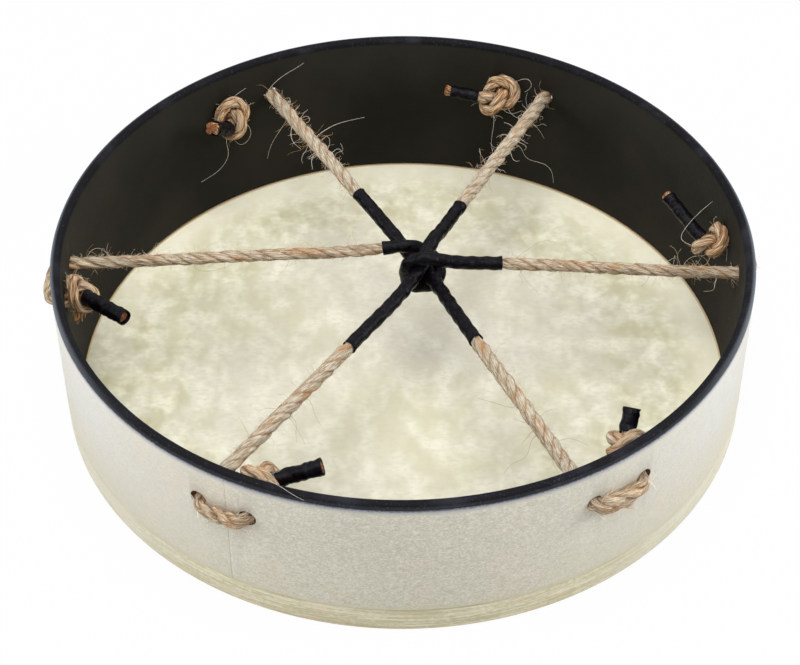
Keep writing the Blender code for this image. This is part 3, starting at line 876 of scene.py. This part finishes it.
def pebbled_sheet_finish():
    # The pale sheet round the hoop: fine pebbles with painted shade in their hollows and painted highlight on
    # their crests, shown most at the front, painted shade on its upper front, a warmer foot, a few specks of
    # dirt, and a painted blue-grey sheen along its upper edge that darkens to black at the very top
    made, tree, shader = new_material("pebbled sheet")
    place = object_place(tree)
    drawn = stretched(tree, place, (0.6, 0.6, 1.0))
    fine = noise(tree, drawn, 1250.0, 4.0, 0.75)
    pebble = noise(tree, drawn, 460.0, 2.0, 0.6)
    parts = place_parts(tree, place)
    height = parts["Z"]
    relief = plus(tree, times(tree, fine, 0.78), times(tree, pebble, 0.22))
    # Warmer towards the foot, greyer and darker on the upper front as painted shade, with faint stains
    colour = tint(tree, linear(221, 220, 213), linear(219, 214, 195), height, 0.060, COLLAR_HEIGHT)
    front = tint(tree, linear(207, 203, 187), linear(220, 215, 196), height, 0.075, COLLAR_HEIGHT)
    colour = mix(tree, band(tree, parts["Y"], -0.090, -0.178), colour, front)
    colour = mottle(tree, colour, linear(222, 217, 200), place, 14.0, 0.40, 0.72, 0.35, 4.0)
    colour = mottle(tree, colour, linear(226, 210, 190), place, 34.0, 0.52, 0.74, 0.32)
    colour = mottle(tree, colour, linear(212, 210, 200), place, 120.0, 0.45, 0.75, 0.22)
    # Painted shade in the pebbles' hollows and painted highlight on their crests, strongest at the front
    coarse = band(tree, parts["Y"], -0.140, -0.178, 0.20, 0.49)
    hollow_shade = times(tree, coarse, band(tree, relief, 0.53, 0.38))
    colour = mix(tree, hollow_shade, colour, linear(172, 168, 150))
    crest_highlight = times(tree, coarse, band(tree, relief, 0.50, 0.64))
    colour = mix(tree, crest_highlight, colour, linear(246, 245, 238))
    foot = plus(tree, height, times(tree, fine, 0.0020))
    colour = tint(
        tree, colour, linear(214, 207, 176), foot, COLLAR_HEIGHT + 0.0050, COLLAR_HEIGHT + 0.0010, 0.7)
    # Rare specks of dirt
    dirt = add_node(tree, "ShaderNodeTexVoronoi", {"Vector": place, "Scale": 26.0})
    rare = band(tree, dirt.outputs["Color"], 0.80, 0.82)
    speck = times(tree, rare, band(tree, dirt.outputs["Distance"], 0.016, 0.008, 0.0, 0.8))
    colour = mix(tree, speck, colour, linear(84, 78, 66))
    # A painted blue-grey sheen below the lip, darkening to black at the very top
    top = DRUM_HEIGHT - LIP_HEIGHT
    ragged = plus(tree, height, times(tree, fine, 0.0040))
    colour = tint(tree, colour, linear(124, 131, 158), ragged, top - 0.0022, top + 0.0022, 0.80)
    colour = tint(tree, colour, linear(44, 45, 56), ragged, top + 0.0004, top + 0.0022, 0.90)
    roughness = band(tree, fine, 0.2, 0.8, 0.50, 0.64)
    coat(tree, shader, colour, roughness, 0.3, bump(tree, relief, 0.6, 0.0007))
    return made


def fibre_film_finish():
    # Film of pressed fibre: cloudy on the flat, olive towards the wall with a tan rim inside the hoop,
    # and drawn into streaks round the collar
    made, tree, shader = new_material("fibre film")
    place = object_place(tree)
    radius = distance_from_axis(tree, place)
    drawn_out = stretched(tree, place, (1.0, 0.72, 1.0))
    # The flat: cream and khaki clouds, stronger towards the wall
    olive = tint(tree, linear(218, 213, 197), linear(214, 210, 182), noise(tree, place, 9.0, 2.0), 0.38, 0.66)
    olive = tint(tree, olive, linear(216, 212, 176), radius, 0.100, 0.150, 0.8)
    flat = mottle(tree, olive, linear(240, 237, 220), drawn_out, 62.0, 0.38, 0.70, 0.75, 2.0)
    flat = mottle(tree, flat, linear(206, 201, 176), drawn_out, 96.0, 0.44, 0.74, 0.50, 2.0)
    outer = times(tree, band(tree, radius, 0.060, 0.140), 0.62)
    flat = mottle(tree, flat, linear(188, 182, 138), drawn_out, 74.0, 0.42, 0.72, outer, 2.0)
    flat = mottle(tree, flat, linear(252, 249, 228), place, 92.0, 0.42, 0.72, outer, 2.0)
    speckle = stretched(tree, place, (0.6, 1.0, 1.0))
    flat = mottle(tree, flat, linear(206, 201, 176), speckle, 430.0, 0.42, 0.70, 0.45)
    # On the face inside the hoop, a painted pool of light along the wall towards the back, and a tan edge
    # against the wall
    parts = place_parts(tree, place)
    across = plus(tree, times(tree, parts["X"], 0.6), parts["Y"])
    inside = band(tree, parts["Z"], 0.3 * FILM_THICKNESS, 0.7 * FILM_THICKNESS)
    painted_light_rim = times(tree, band(tree, radius, 0.138, FOOT_INNER, 0.0, 0.8), band(tree, across, -0.11, 0.03))
    flat = mix(tree, times(tree, painted_light_rim, inside), flat, linear(252, 247, 222))
    edge = band(tree, radius, FOOT_INNER - 0.0008, FOOT_INNER - 0.0003, 0.0, 0.60)
    flat = mix(tree, times(tree, edge, inside), flat, linear(220, 176, 112))
    # The collar: long streaks and bits of fibre, a painted shadow under the sheet's edge, browner at the foot,
    # and paler at the sides as painted light
    streak = noise(tree, stretched(tree, place, (0.035, 0.035, 1.0)), 900.0, 3.0, 0.6)
    streak = mix(tree, 0.4, streak, noise(tree, stretched(tree, place, (0.4, 0.4, 1.0)), 1000.0, 3.0, 0.6))
    drawn = tint(tree, linear(194, 187, 152), linear(228, 223, 198), streak, 0.40, 0.60)
    bits = stretched(tree, place, (0.10, 0.10, 1.0))
    finer = stretched(tree, bits, (1.3, 1.3, 1.3))
    for patch, spread in ((linear(224, 200, 172), bits), (linear(200, 198, 156), finer)):
        drawn = mottle(tree, drawn, patch, spread, 600.0, 0.54, 0.68, 0.6, 2.0)
    for over, value, low, high, most in (
            # Painted shadow under the sheet's lower edge
            (linear(164, 154, 122), parts["Z"], COLLAR_HEIGHT - 0.0014, COLLAR_HEIGHT - 0.0002, 0.30),
            (linear(214, 176, 122), parts["Z"], 0.0022, 0.0006, 0.60),
            # Painted light: paler towards the right and left sides
            (linear(224, 222, 207), parts["X"], 0.070, 0.150, 0.55),
            (linear(217, 214, 200), parts["X"], -0.080, -0.150, 0.50)):
        drawn = tint(tree, drawn, over, value, low, high, most)
    on_collar = band(tree, radius, COLLAR_OUTER - 1.1 * COLLAR_ROUND, COLLAR_OUTER - 0.7 * COLLAR_ROUND)
    speck, normal = grain(tree, place, 240.0, 3.0, 0.1, 0.0004)
    roughness = band(tree, speck, 0.3, 0.7, 0.48, 0.60)
    coat(tree, shader, mix(tree, on_collar, flat, drawn), roughness, 0.3, normal)
    return made


def laid_rope_finish():
    # Natural fibre: fine pale lines along the yarns, brown in the lay as part its own colour and part painted
    # shade, painted shade in the knots' creases, tan in the knots and browner at the cut ends
    made, tree, shader = new_material("laid rope")
    fibre = attribute(tree, "fibre").outputs["Vector"]
    deep, tanned, crease, cut = [
        attribute(tree, label).outputs["Fac"] for label in ("groove", "tanned", "crease", "cut")]
    fine = noise(tree, stretched(tree, fibre, (2300.0, 2300.0, 170.0)), 1.0, 3.0, 0.65)
    tuft = noise(tree, stretched(tree, fibre, (900.0, 900.0, 110.0)), 1.0, 3.0, 0.65, 0.6)
    stain = noise(tree, stretched(tree, fibre, (160.0, 160.0, 60.0)), 1.0, 3.0)
    lines = band(tree, fine, 0.40, 0.60)
    pale = mix(tree, lines, linear(162, 144, 118), linear(220, 211, 192))
    pale = tint(tree, pale, linear(190, 140, 92), stain, 0.52, 0.66, 0.62)
    pale = tint(tree, pale, linear(150, 114, 76), tuft, 0.55, 0.69, 0.70)
    tan = mix(tree, lines, linear(152, 94, 46), linear(246, 218, 172))
    tan = tint(tree, tan, linear(118, 64, 28), tuft, 0.48, 0.64, 0.88)
    colour = mix(tree, times(tree, tanned, band(tree, stain, 0.28, 0.60, 0.45, 1.0)), pale, tan)
    # Painted shade down in the lay and where passes of a knot press on each other
    shade = times(tree, deep, band(tree, tuft, 0.32, 0.56, 0.25, 1.0))
    shade = math_node(tree, "MAXIMUM", shade, times(tree, crease, 0.95))
    colour = mix(tree, shade, colour, mix(tree, tanned, linear(152, 112, 72), linear(84, 44, 18)))
    end = mix(tree, lines, linear(88, 46, 20), linear(166, 102, 54))
    colour = mix(tree, times(tree, cut, 0.9), colour, end)
    coat(tree, shader, colour, 0.82, 0.2, bump(tree, plus(tree, fine, tuft), 1.0, 0.0009))
    return made


def loose_fibre_finish():
    # Single fibres that stand off the rope, by their tone: brown, tan, pale, and above 1 a grey of painted
    # shade
    made, tree, shader = new_material("loose fibre")
    tone = attribute(tree, "tone").outputs["Fac"]
    colour = tint(tree, linear(122, 72, 32), linear(204, 156, 96), tone, -1.0, -0.2)
    colour = tint(tree, colour, linear(246, 238, 222), tone, -0.2, 1.0)
    # Painted shade: the fibres over the head turn grey
    colour = tint(tree, colour, linear(154, 146, 126), tone, 1.0, SHADED_STRAY_TONE)
    coat(tree, shader, colour, 0.6, 0.5)
    return made


def shrunk_tube_finish():
    # Black shrunk tube: satin, creased, with a slight violet cast
    made, tree, shader = new_material("shrunk tube")
    place = object_place(tree)
    crease = noise(tree, place, 300.0, 4.0, 0.6, 0.4)
    fine = noise(tree, place, 1500.0, 2.0)
    colour = mottle(tree, linear(5, 4, 6), linear(17, 15, 21), place, 220.0, 0.30, 0.75, 1.0, 4.0)
    relief = plus(tree, crease, times(tree, fine, 0.2))
    roughness = band(tree, crease, 0.3, 0.7, 0.16, 0.36)
    coat(tree, shader, colour, roughness, 0.08, bump(tree, relief, 0.7, 0.0010))
    return made


# The hoop, its sheet and the head

def make_hole_cutter(material):
    # One radial drill for each of the twelve rope holes, joined into one cutter
    drills = []
    middle = (SHELL_INNER + OUTER_RADIUS) / 2
    for station in STATIONS:
        for angle in (math.radians(STATIONS[station][0]), knot_hole_angle(station)):
            bpy.ops.object.select_all(action="DESELECT")
            bpy.ops.mesh.primitive_cylinder_add(
                vertices=HOLE_SIDES, radius=HOLE_RADIUS, depth=6 * SHELL_WALL,
                location=around(angle, middle, HOLE_LEVEL), rotation=(0, math.pi / 2, angle))
            bpy.ops.object.transform_apply(location=True, rotation=True, scale=True)
            drills.append(bpy.context.object)
    for drill in drills:
        drill.select_set(True)
    bpy.ops.object.join()
    cutter = bpy.context.object
    cutter.data.materials.append(material)
    return cutter


def make_seam_cutter(material):
    # An upright groove where the sheet's two ends meet
    bpy.ops.object.select_all(action="DESELECT")
    angle = math.radians(SEAM_ANGLE)
    bpy.ops.mesh.primitive_cube_add(
        size=1.0, location=around(angle, OUTER_RADIUS, DRUM_HEIGHT / 2), rotation=(0, 0, angle))
    cutter = bpy.context.object
    cutter.scale = (SEAM_CUT_DEPTH, SEAM_CUT_WIDTH, 2 * DRUM_HEIGHT)
    bpy.ops.object.transform_apply(location=True, rotation=True, scale=True)
    cutter.data.materials.append(material)
    return cutter


def make_shell(material, holes):
    # The wall, with a lip that stands out flush with the sheet
    lip_foot = DRUM_HEIGHT - LIP_HEIGHT + LIP_SEAT
    shell = turn_round("hoop", [
        (FOOT_INNER, SHELL_FOOT), (SHELL_OUTER, SHELL_FOOT), (SHELL_OUTER, lip_foot), (OUTER_RADIUS, lip_foot),
        (OUTER_RADIUS, DRUM_HEIGHT), (SHELL_INNER, DRUM_HEIGHT), (SHELL_INNER, FLARE_HEIGHT)])
    round_edge(shell, OUTER_RADIUS, DRUM_HEIGHT, LIP_OUTER_ROUND, 6)
    round_edge(shell, SHELL_INNER, DRUM_HEIGHT, LIP_INNER_ROUND, 8)
    round_edge(shell, SHELL_OUTER, SHELL_FOOT, COLLAR_ROUND - FILM_THICKNESS - SEAT_GAP, 5)
    round_edge(shell, FOOT_INNER, SHELL_FOOT, BEARING_EDGE_CHAMFER, 1)
    shell.data.materials.append(material)
    cut_with(shell, holes)
    soften_corners(shell, HOLE_EDGE_ROUND)
    smooth_over(shell)
    finish_piece(shell, material, "pressed_fibre", "shell")


def make_wrap(material, holes, seam):
    bottom, top = COLLAR_HEIGHT + SEAT_GAP, DRUM_HEIGHT - LIP_HEIGHT
    wrap = add_cylinder("outer_sheet", OUTER_RADIUS, bottom, top, capped=False)
    thicken(wrap, WRAP_THICKNESS)
    wrap.data.materials.append(material)
    cut_with(wrap, holes)
    cut_with(wrap, seam)
    soften_corners(wrap, SHEET_EDGE_ROUND)
    smooth_over(wrap)
    finish_piece(wrap, material, "pebbled_sheet", "outer_wrap")


def make_head(material):
    # A shallow cup of film, its flat drawn over the hoop and its collar up the outside
    head = add_cylinder("head", COLLAR_OUTER, 0.0, COLLAR_HEIGHT, capped=True)
    bpy.ops.object.mode_set(mode="EDIT")
    bpy.ops.mesh.select_mode(type="FACE")
    bpy.ops.mesh.select_all(action="DESELECT")
    shape = bmesh.from_edit_mesh(head.data)
    for face in shape.faces:
        face.select_set(face.normal.z > 0.9)
    bmesh.update_edit_mesh(head.data)
    bpy.ops.mesh.delete(type="ONLY_FACE")
    bpy.ops.object.mode_set(mode="OBJECT")
    round_edge(head, COLLAR_OUTER, 0.0, COLLAR_ROUND, 8)
    thicken(head, FILM_THICKNESS)
    smooth_over(head)
    finish_piece(head, material, "fibre_film", "drumhead")


# The ropes, their sleeves and their loose fibres

def tube_bore(girth):
    return girth * SLEEVE_DIAMETER / 2 - SLEEVE_WALL


def into_knots(length, marks):
    # How far each place is past the knot's hole at its end of the rope, negative between the two holes
    return np.maximum(marks["walls"][0] - length, length - marks["walls"][1])


def into_stitches(length, marks):
    # How far each place is past the arm's hole at its end of the rope, negative on the arms
    return np.maximum(marks["arms"][0] - length, length - marks["arms"][1])


def rope_radius(name, length, marks, spans):
    # The rope's radius all along: fuller in the knots, shaped in the stitches, and squeezed under the tubes
    knotted = smooth_step(into_knots(length, marks) / SQUEEZE_LENGTH)
    first, second = ROPES[name][:2]
    fullness = KNOT_FULLNESS * np.where(length < marks["crossing"], KNOT_SIZES[first], KNOT_SIZES[second])
    girth = ROPE_GIRTHS[name] + (fullness - ROPE_GIRTHS[name]) * knotted
    radius = ROPE_RADIUS * girth
    quick, slow = GIRTH_WANDER_RATES
    radius *= 1 + GIRTH_WANDER * np.sin(length * quick) * np.sin(length * slow + 1.0)
    for end, station in enumerate((first, second)):
        at_knot, at_arm, bulge = STITCH_SHAPES[station]
        near, far = sorted((marks["walls"][end], marks["arms"][end]))
        for hole, taper in ((marks["walls"][end], at_knot), (marks["arms"][end], at_arm)):
            past_wall = (length - near if hole == near else far - length) - HOLE_DEPTH
            share = np.where(past_wall > 0, past_wall / STITCH_TAPER_LENGTH, -past_wall / HOLE_DEPTH)
            radius *= 1 - taper * (1 - smooth_step(share))
        radius *= 1 + bulge * np.sin(math.pi * np.clip((length - near) / (far - near), 0, 1))
    for begin, end, girth in spans.values():
        into = np.minimum(length - begin, end - length)
        squeezed = smooth_step(into / SQUEEZE_LENGTH + 1)
        radius = radius + (FILL_OF_BORE * tube_bore(girth) - radius) * squeezed
    return radius


def round_off(ring, centre, outward):
    # Rings that close a cut rope end with a shallow dome
    steps = zip(CUT_END_SHARES, CUT_END_RISES)
    return [centre + (ring - centre) * share + outward * CUT_END_DOME * rise for share, rise in steps]


def ripple(chance, spots, run, kind):
    # One wave at random, round a rope or tube and along it
    counts, rates = kind
    count, rate, phase = chance.integers(*counts), chance.uniform(*rates), chance.uniform(0, math.tau)
    return np.sin(count * spots[None] + rate * run[:, None] + phase)


def knot_creases(rings, points, length, radius, marks):
    # 1 where one pass of a knotted rope presses on another, down to 0 a little way off
    creases = np.zeros(rings.shape[:2])
    for inside in (length < marks["walls"][0], length > marks["walls"][1]):
        rows = np.flatnonzero(inside)
        for row in rows:
            others = rows[np.abs(length[rows] - length[row]) > CREASE_LEAST_RUN]
            if len(others):
                away = np.linalg.norm(rings[row][:, None] - points[others][None], axis=2)
                away = away - radius[others][None]
                creases[row] = np.clip(1 - away.min(axis=1) / CREASE_REACH, 0, 1)
    return creases


def make_rope(name, points, length, marks, spans, seed, material):
    # Three strands laid up right-handed round the rope's route, with cut ends
    first, second = ROPES[name][:2]
    bare = [max(0.0, -TAIL_TUBES[station][2]) for station in (first, second)]
    heading, side, third = frames_along(points)
    radius = rope_radius(name, length, marks, spans)
    chance = np.random.default_rng(seed)
    spots = np.arange(ROPE_SIDES) * math.tau / ROPE_SIDES
    turn = math.tau * length / LAY_PITCH + LAY_WANDER * np.sin(length * LAY_WANDER_RATE + seed)
    angles = spots[None] + turn[:, None]
    from_crown = np.abs((spots * LAY_STRANDS / math.tau + 0.5) % 1 - 0.5) * 2
    knotted = smooth_step(into_knots(length, marks) / SQUEEZE_LENGTH)
    stitched = smooth_step(into_stitches(length, marks) / (3 * SQUEEZE_LENGTH) + 1)
    depth = LAY_DEPTH + (KNOT_LAY_DEPTH - LAY_DEPTH) * stitched
    swell = ROPE_SWELL * (1 + STITCH_LUMPS * stitched * (1 - knotted)) / 2
    shape = 1 - depth[:, None] * from_crown[None] ** STRAND_ROUNDNESS
    for _ in range(WAVE_COUNT):
        shape = shape + swell[:, None] * ripple(chance, spots, length, ROPE_WAVES)
    out = np.cos(angles)[..., None] * side[:, None] + np.sin(angles)[..., None] * third[:, None]
    rings = points[:, None] + (radius[:, None] * shape)[..., None] * out
    yarn = angles - YARN_TWIST * turn[:, None]
    fibre = np.stack([
        ROPE_RADIUS * np.cos(yarn), ROPE_RADIUS * np.sin(yarn),
        np.broadcast_to(length[:, None], angles.shape)], axis=-1)
    tanned = ARM_TANS[name] + (STITCH_TAN - ARM_TANS[name]) * stitched
    knot_tan = np.where(length < marks["crossing"], KNOT_TANS[first], KNOT_TANS[second]) - STITCH_TAN
    tanned = tanned + knot_tan * smooth_step(into_knots(length, marks) / SQUEEZE_LENGTH + 1)
    kept = np.flatnonzero((length >= bare[0]) & (length <= length[-1] - bare[1]))
    head, tail = kept[0], kept[-1]
    start_cap = round_off(rings[head], points[head], -heading[head])[::-1]
    end_cap = round_off(rings[tail], points[tail], heading[tail])
    domed = len(CUT_END_SHARES)
    rows = np.concatenate([[head] * domed, kept, [tail] * domed])
    groove = np.broadcast_to(from_crown ** GROOVE_SHARPNESS, angles.shape)
    cut = np.zeros(len(rows))
    cut[:domed + 1] = cut[-domed - 1:] = 1.0
    values = {
        "fibre": fibre[rows].reshape(-1, 3), "groove": groove[rows].ravel(),
        "tanned": np.repeat(tanned[rows], ROPE_SIDES), "cut": np.repeat(cut, ROPE_SIDES),
        "crease": knot_creases(rings, points, length, radius, marks)[rows].ravel()}
    rings = np.concatenate([start_cap, rings[kept], end_cap])
    rope = add_mesh("laid_rope_" + name, [skin(rings)], values)
    finish_piece(rope, material, "laid_rope", "rope_" + name)


def make_tube(node, points, length, span, crossing, seed, material):
    # A shrunk tube that takes the rope's lobes, creases where it bends and stands off at its cut ends
    begin, end, girth = span
    inside = (length >= begin) & (length <= end)
    route, run = points[inside], length[inside] - begin
    _, side, third = frames_along(route)
    chance = np.random.default_rng(seed)
    spots = np.arange(TUBE_SIDES) * math.tau / TUBE_SIDES
    around_tube = np.cos(spots)[:, None] * side[:, None] + np.sin(spots)[:, None] * third[:, None]
    shape = TUBE_LOBES * np.cos(LAY_STRANDS * spots[None] - LAY_STRANDS * math.tau * run[:, None] / LAY_PITCH)
    crinkle = TAIL_CRINKLE if node.startswith("end") else 0.0
    for _ in range(WAVE_COUNT):
        shape = shape + TUBE_CREASE / 3 * ripple(chance, spots, run, CREASE_WAVES)
        shape = shape + crinkle / 4 * ripple(chance, spots, run, CRINKLE_WAVES)
    for from_end in (run, run[-1] - run):
        lean = 1 + TUBE_FLARE_LEAN * np.cos(spots - chance.uniform(0, math.tau))
        shape = shape + TUBE_FLARE * np.exp(-from_end / TUBE_FLARE_LENGTH)[:, None] * lean[None]
    from_crossing = np.abs(length[inside] - crossing) / CROSSING_LENGTH
    shape = shape + CROSSING_FULLNESS * (1 - smooth_step(from_crossing))[:, None]
    radius = girth * SLEEVE_DIAMETER / 2 * (1 + shape)
    outer = route[:, None] + radius[..., None] * around_tube
    inner = route[:, None] + (radius - SLEEVE_WALL)[..., None] * around_tube
    rings = np.concatenate([outer, inner[::-1]])
    tube = add_mesh(node.replace("sleeve", "tube"), [skin(rings, looped=True)])
    finish_piece(tube, material, "shrunk_tube", node)


def fibre_skins(paths, thickness):
    # Thin three-sided tubes along rows of points, finer towards their tips
    heading = unit(np.gradient(paths, axis=1))
    side = unit(np.cross(heading, np.array([0.31, 0.52, 0.79])))
    third = np.cross(heading, side)
    taper = np.linspace(1.0, 0.5, paths.shape[1])[None, :, None] * thickness[:, None, None] / 2
    corners = []
    for spot in range(FIBRE_SIDES):
        angle = math.tau * spot / FIBRE_SIDES
        corners.append(paths + taper * (math.cos(angle) * side + math.sin(angle) * third))
    return [skin(rings) for rings in np.stack(corners, axis=2)]


def grow_fibres(chance, roots, out, along, lengths, lift, curl):
    # Paths that leave their roots, lean along the rope and curl
    count = len(roots)
    steps = np.linspace(0, 1, FIBRE_POINTS)[None, :, None]
    at_root, at_tip = FIBRE_WANDERS
    starts = unit(lift * out + (1 - lift) * along + chance.normal(0, at_root, (count, 3)))
    bends = unit(0.6 * lift * out + (1 - lift) * along + chance.normal(0, at_tip, (count, 3)))
    rate = chance.uniform(*FIBRE_CURL_RATES, (count, 1, 1))
    phase = chance.uniform(0, math.tau, (count, 1, 1))
    first, second = chance.normal(0, 1, (2, count, 1, 3))
    wave = curl * (np.cos(rate * steps + phase) * first + np.sin(rate * steps + phase) * second) * 0.5
    heading = unit(starts[:, None] * (1 - steps) + bends[:, None] * steps + wave * steps)
    hops = heading[:, :-1] * (lengths / (FIBRE_POINTS - 1))[:, None, None]
    return np.concatenate([roots[:, None], roots[:, None] + np.cumsum(hops, axis=1)], axis=1)


def fuzz_shares(name, length, marks, spans):
    # How thick each kind of short fibre grows along the rope: fewer on its knots and none by its tubes and cut
    # ends, the longest on its arms and stitches alone, and the loose strands on its stitches alone
    share = np.ones(len(length))
    from_arm, from_wall = into_stitches(length, marks), into_knots(length, marks)
    share[from_arm > 0] = STITCH_FUZZ[name]
    share[from_wall > 0] = KNOT_FUZZ
    for begin, end, _ in spans.values():
        share[(length > begin - TUBE_CLEARANCE) & (length < end + TUBE_CLEARANCE)] = 0
    share[(length < CUT_END_CLEARANCE) | (length > length[-1] - CUT_END_CLEARANCE)] = 0
    stitched = (from_arm > HOLE_CLEARANCE) & (from_wall < -HOLE_CLEARANCE)
    return share, share, share * (from_wall < 0), STITCH_FUZZ[name] * stitched


def grow_tuft(chance):
    # Paths of the frayed tuft's fibres, which spread and curl away from one core
    core = spline(np.array(TUFT) / 1000, ROUTE_STEP)
    shares = np.linspace(0, 1, len(core))[None, :, None]
    spread, curl = [chance.normal(0, 1, (TUFT_COUNT, 1, 3)) / 1000 for _ in range(2)]
    wide, loose = TUFT_SPREAD
    from_root, to_tip = TUFT_OPENING
    reach = chance.uniform(*TUFT_REACH, (TUFT_COUNT, 1))
    rows = (reach * np.arange(len(core))).round().astype(int)
    return core[rows] + spread * wide * np.sin(from_root + to_tip * shares) + curl * loose * shares ** 2


def make_fuzz(name, points, length, marks, spans, seed, material):
    # Short fibres all over the bare rope, clear of its tubes, then the long ones that are listed one by one
    heading, side, third = frames_along(points)
    radius = rope_radius(name, length, marks, spans)
    chance = np.random.default_rng(seed)
    covered = np.any([(length > begin) & (length < end) for begin, end, _ in spans.values()], axis=0)
    tubed = points[covered][::4]
    skins, tones = [], []
    for kind, share in zip((*FUZZ, STITCH_STRANDS), fuzz_shares(name, length, marks, spans)):
        per_metre, shortest, longest, thickness, lift, curl = kind
        count = int(per_metre * share.sum() * ROUTE_STEP)
        spot = chance.choice(len(points), count, p=share / share.sum())
        angle = chance.uniform(0, math.tau, count)[:, None]
        out = np.cos(angle) * side[spot] + np.sin(angle) * third[spot]
        roots = points[spot] + out * (FIBRE_ROOT_SHARE * radius[spot])[:, None]
        along = heading[spot] * chance.choice([-1.0, 1.0], count)[:, None]
        lengths = chance.uniform(shortest, longest, count)
        paths = grow_fibres(chance, roots, out, along, lengths, lift, curl)
        from_tubes = np.linalg.norm(paths[:, :, None] - tubed[None, None], axis=3).min(axis=(1, 2))
        clear = from_tubes > FIBRE_CLEARANCE
        skins += fibre_skins(paths[clear], (thickness * chance.uniform(*FIBRE_GIRTHS, count))[clear])
        tones.append(np.repeat(chance.uniform(*FUZZ_TONES, count)[clear], FIBRE_POINTS * FIBRE_SIDES))
    for tone, strays in ((STRAY_TONE, STRAYS), (SHADED_STRAY_TONE, HEAD_STRAYS)):
        for waypoints in strays[name]:
            path = spline(np.array(waypoints) / 1000, 2 * ROUTE_STEP)
            skins += fibre_skins(path[None], np.array([STRAY_THICKNESS]))
            tones.append(np.full(len(path) * FIBRE_SIDES, tone))
    if name == TUFT_ROPE:
        paths = grow_tuft(chance)
        skins += fibre_skins(paths, np.full(TUFT_COUNT, TUFT_THICKNESS))
        tones.append(np.repeat(chance.uniform(*TUFT_TONES, TUFT_COUNT), paths.shape[1] * FIBRE_SIDES))
    fuzz = add_mesh("loose_fibres_" + name, skins, {"tone": np.concatenate(tones)})
    finish_piece(fuzz, material, "laid_rope")


def make_ropes(rope_material, tube_material, fibre_material):
    seed = 11
    for name in ROPES:
        points, length, marks = rope_route(name)
        spans = tube_spans(name, length, marks)
        make_rope(name, points, length, marks, spans, seed, rope_material)
        make_fuzz(name, points, length, marks, spans, seed, fibre_material)
        for node, span in spans.items():
            seed += 1
            make_tube(node, points, length, span, marks["crossing"], seed, tube_material)


# The stage

def seen_directly(tree):
    # 1 where the camera looks, straight or by way of a shine, and 0 where light only bounces
    path = add_node(tree, "ShaderNodeLightPath").outputs
    seen = math_node(tree, "MAXIMUM", path["Is Camera Ray"], path["Is Glossy Ray"])
    return math_node(tree, "MAXIMUM", seen, path["Is Transmission Ray"])


def show(tree, kind, share, plain, white):
    # Blend a plain shader into a white one and show the result
    blend = add_node(tree, "ShaderNodeMixShader", {0: share, 1: plain.outputs[0], 2: white.outputs[0]})
    output = next(node for node in tree.nodes if node.type == kind)
    join(tree, output.inputs["Surface"], blend.outputs[0])


def make_stage():
    bpy.ops.object.select_all(action="DESELECT")
    bpy.ops.mesh.primitive_plane_add(size=FLOOR_SIZE, location=(0, 0, FLOOR_LEVEL))
    floor = bpy.context.object
    floor.name = "floor"
    bpy.ops.object.transform_apply(location=True, rotation=True, scale=True)
    made, tree, shader = new_material("pale floor")
    cloud = noise(tree, object_place(tree), 3.0, 2.0)
    coat(tree, shader, mix(tree, cloud, linear(204, 204, 204), linear(208, 208, 208)), 0.9, 0.0)
    white = add_node(tree, "ShaderNodeEmission", {"Color": WHITE, "Strength": 1.0})
    show(tree, "OUTPUT_MATERIAL", times(tree, seen_directly(tree), FLOOR_WHITENESS), shader, white)
    floor.data.materials.append(made)


def make_world():
    world = bpy.data.worlds.new("studio")
    bpy.context.scene.world = world
    world.use_nodes = True
    tree = world.node_tree
    soft = tree.nodes["Background"]
    soft.inputs["Color"].default_value = WHITE
    soft.inputs["Strength"].default_value = SKY_STRENGTH
    white = add_node(tree, "ShaderNodeBackground", {"Color": WHITE, "Strength": 1.0})
    show(tree, "OUTPUT_WORLD", seen_directly(tree), soft, white)


def make_lights():
    for name, (place, aim, size, power) in LAMPS.items():
        lamp = bpy.data.lights.new(name, "AREA")
        lamp.shape = "DISK"
        lamp.size = size
        lamp.energy = power
        item = bpy.data.objects.new(name, lamp)
        item.location = place
        item.rotation_euler = (Vector(aim) - Vector(place)).to_track_quat("-Z", "Y").to_euler()
        bpy.context.scene.collection.objects.link(item)


def make_camera():
    data = bpy.data.cameras.new("camera")
    data.lens = CAMERA_LENS
    data.sensor_width = SENSOR_WIDTH
    camera = bpy.data.objects.new("camera", data)
    turn = Matrix.Rotation(-CAMERA_PAN, 4, "Z") @ Matrix.Rotation(math.pi / 2 - CAMERA_TILT, 4, "X")
    turn = turn @ Matrix.Rotation(CAMERA_ROLL, 4, "Z")
    camera.matrix_world = Matrix.Translation(CAMERA_PLACE) @ turn
    bpy.context.scene.collection.objects.link(camera)
    bpy.context.scene.camera = camera


def main():
    make_mottle_group()
    make_grain_group()
    black, raw, sheet = black_fibre_finish(), raw_fibre_finish(), pebbled_sheet_finish()
    make_camera()
    holes, seam = make_hole_cutter(raw), make_seam_cutter(sheet)
    make_shell(black, holes)
    make_wrap(sheet, holes, seam)
    for cutter in (holes, seam):
        bpy.data.objects.remove(cutter, do_unlink=True)
    make_head(fibre_film_finish())
    make_ropes(laid_rope_finish(), shrunk_tube_finish(), loose_fibre_finish())
    make_stage()
    make_world()
    make_lights()
    bpy.context.scene.view_settings.view_transform = "Standard"


main()
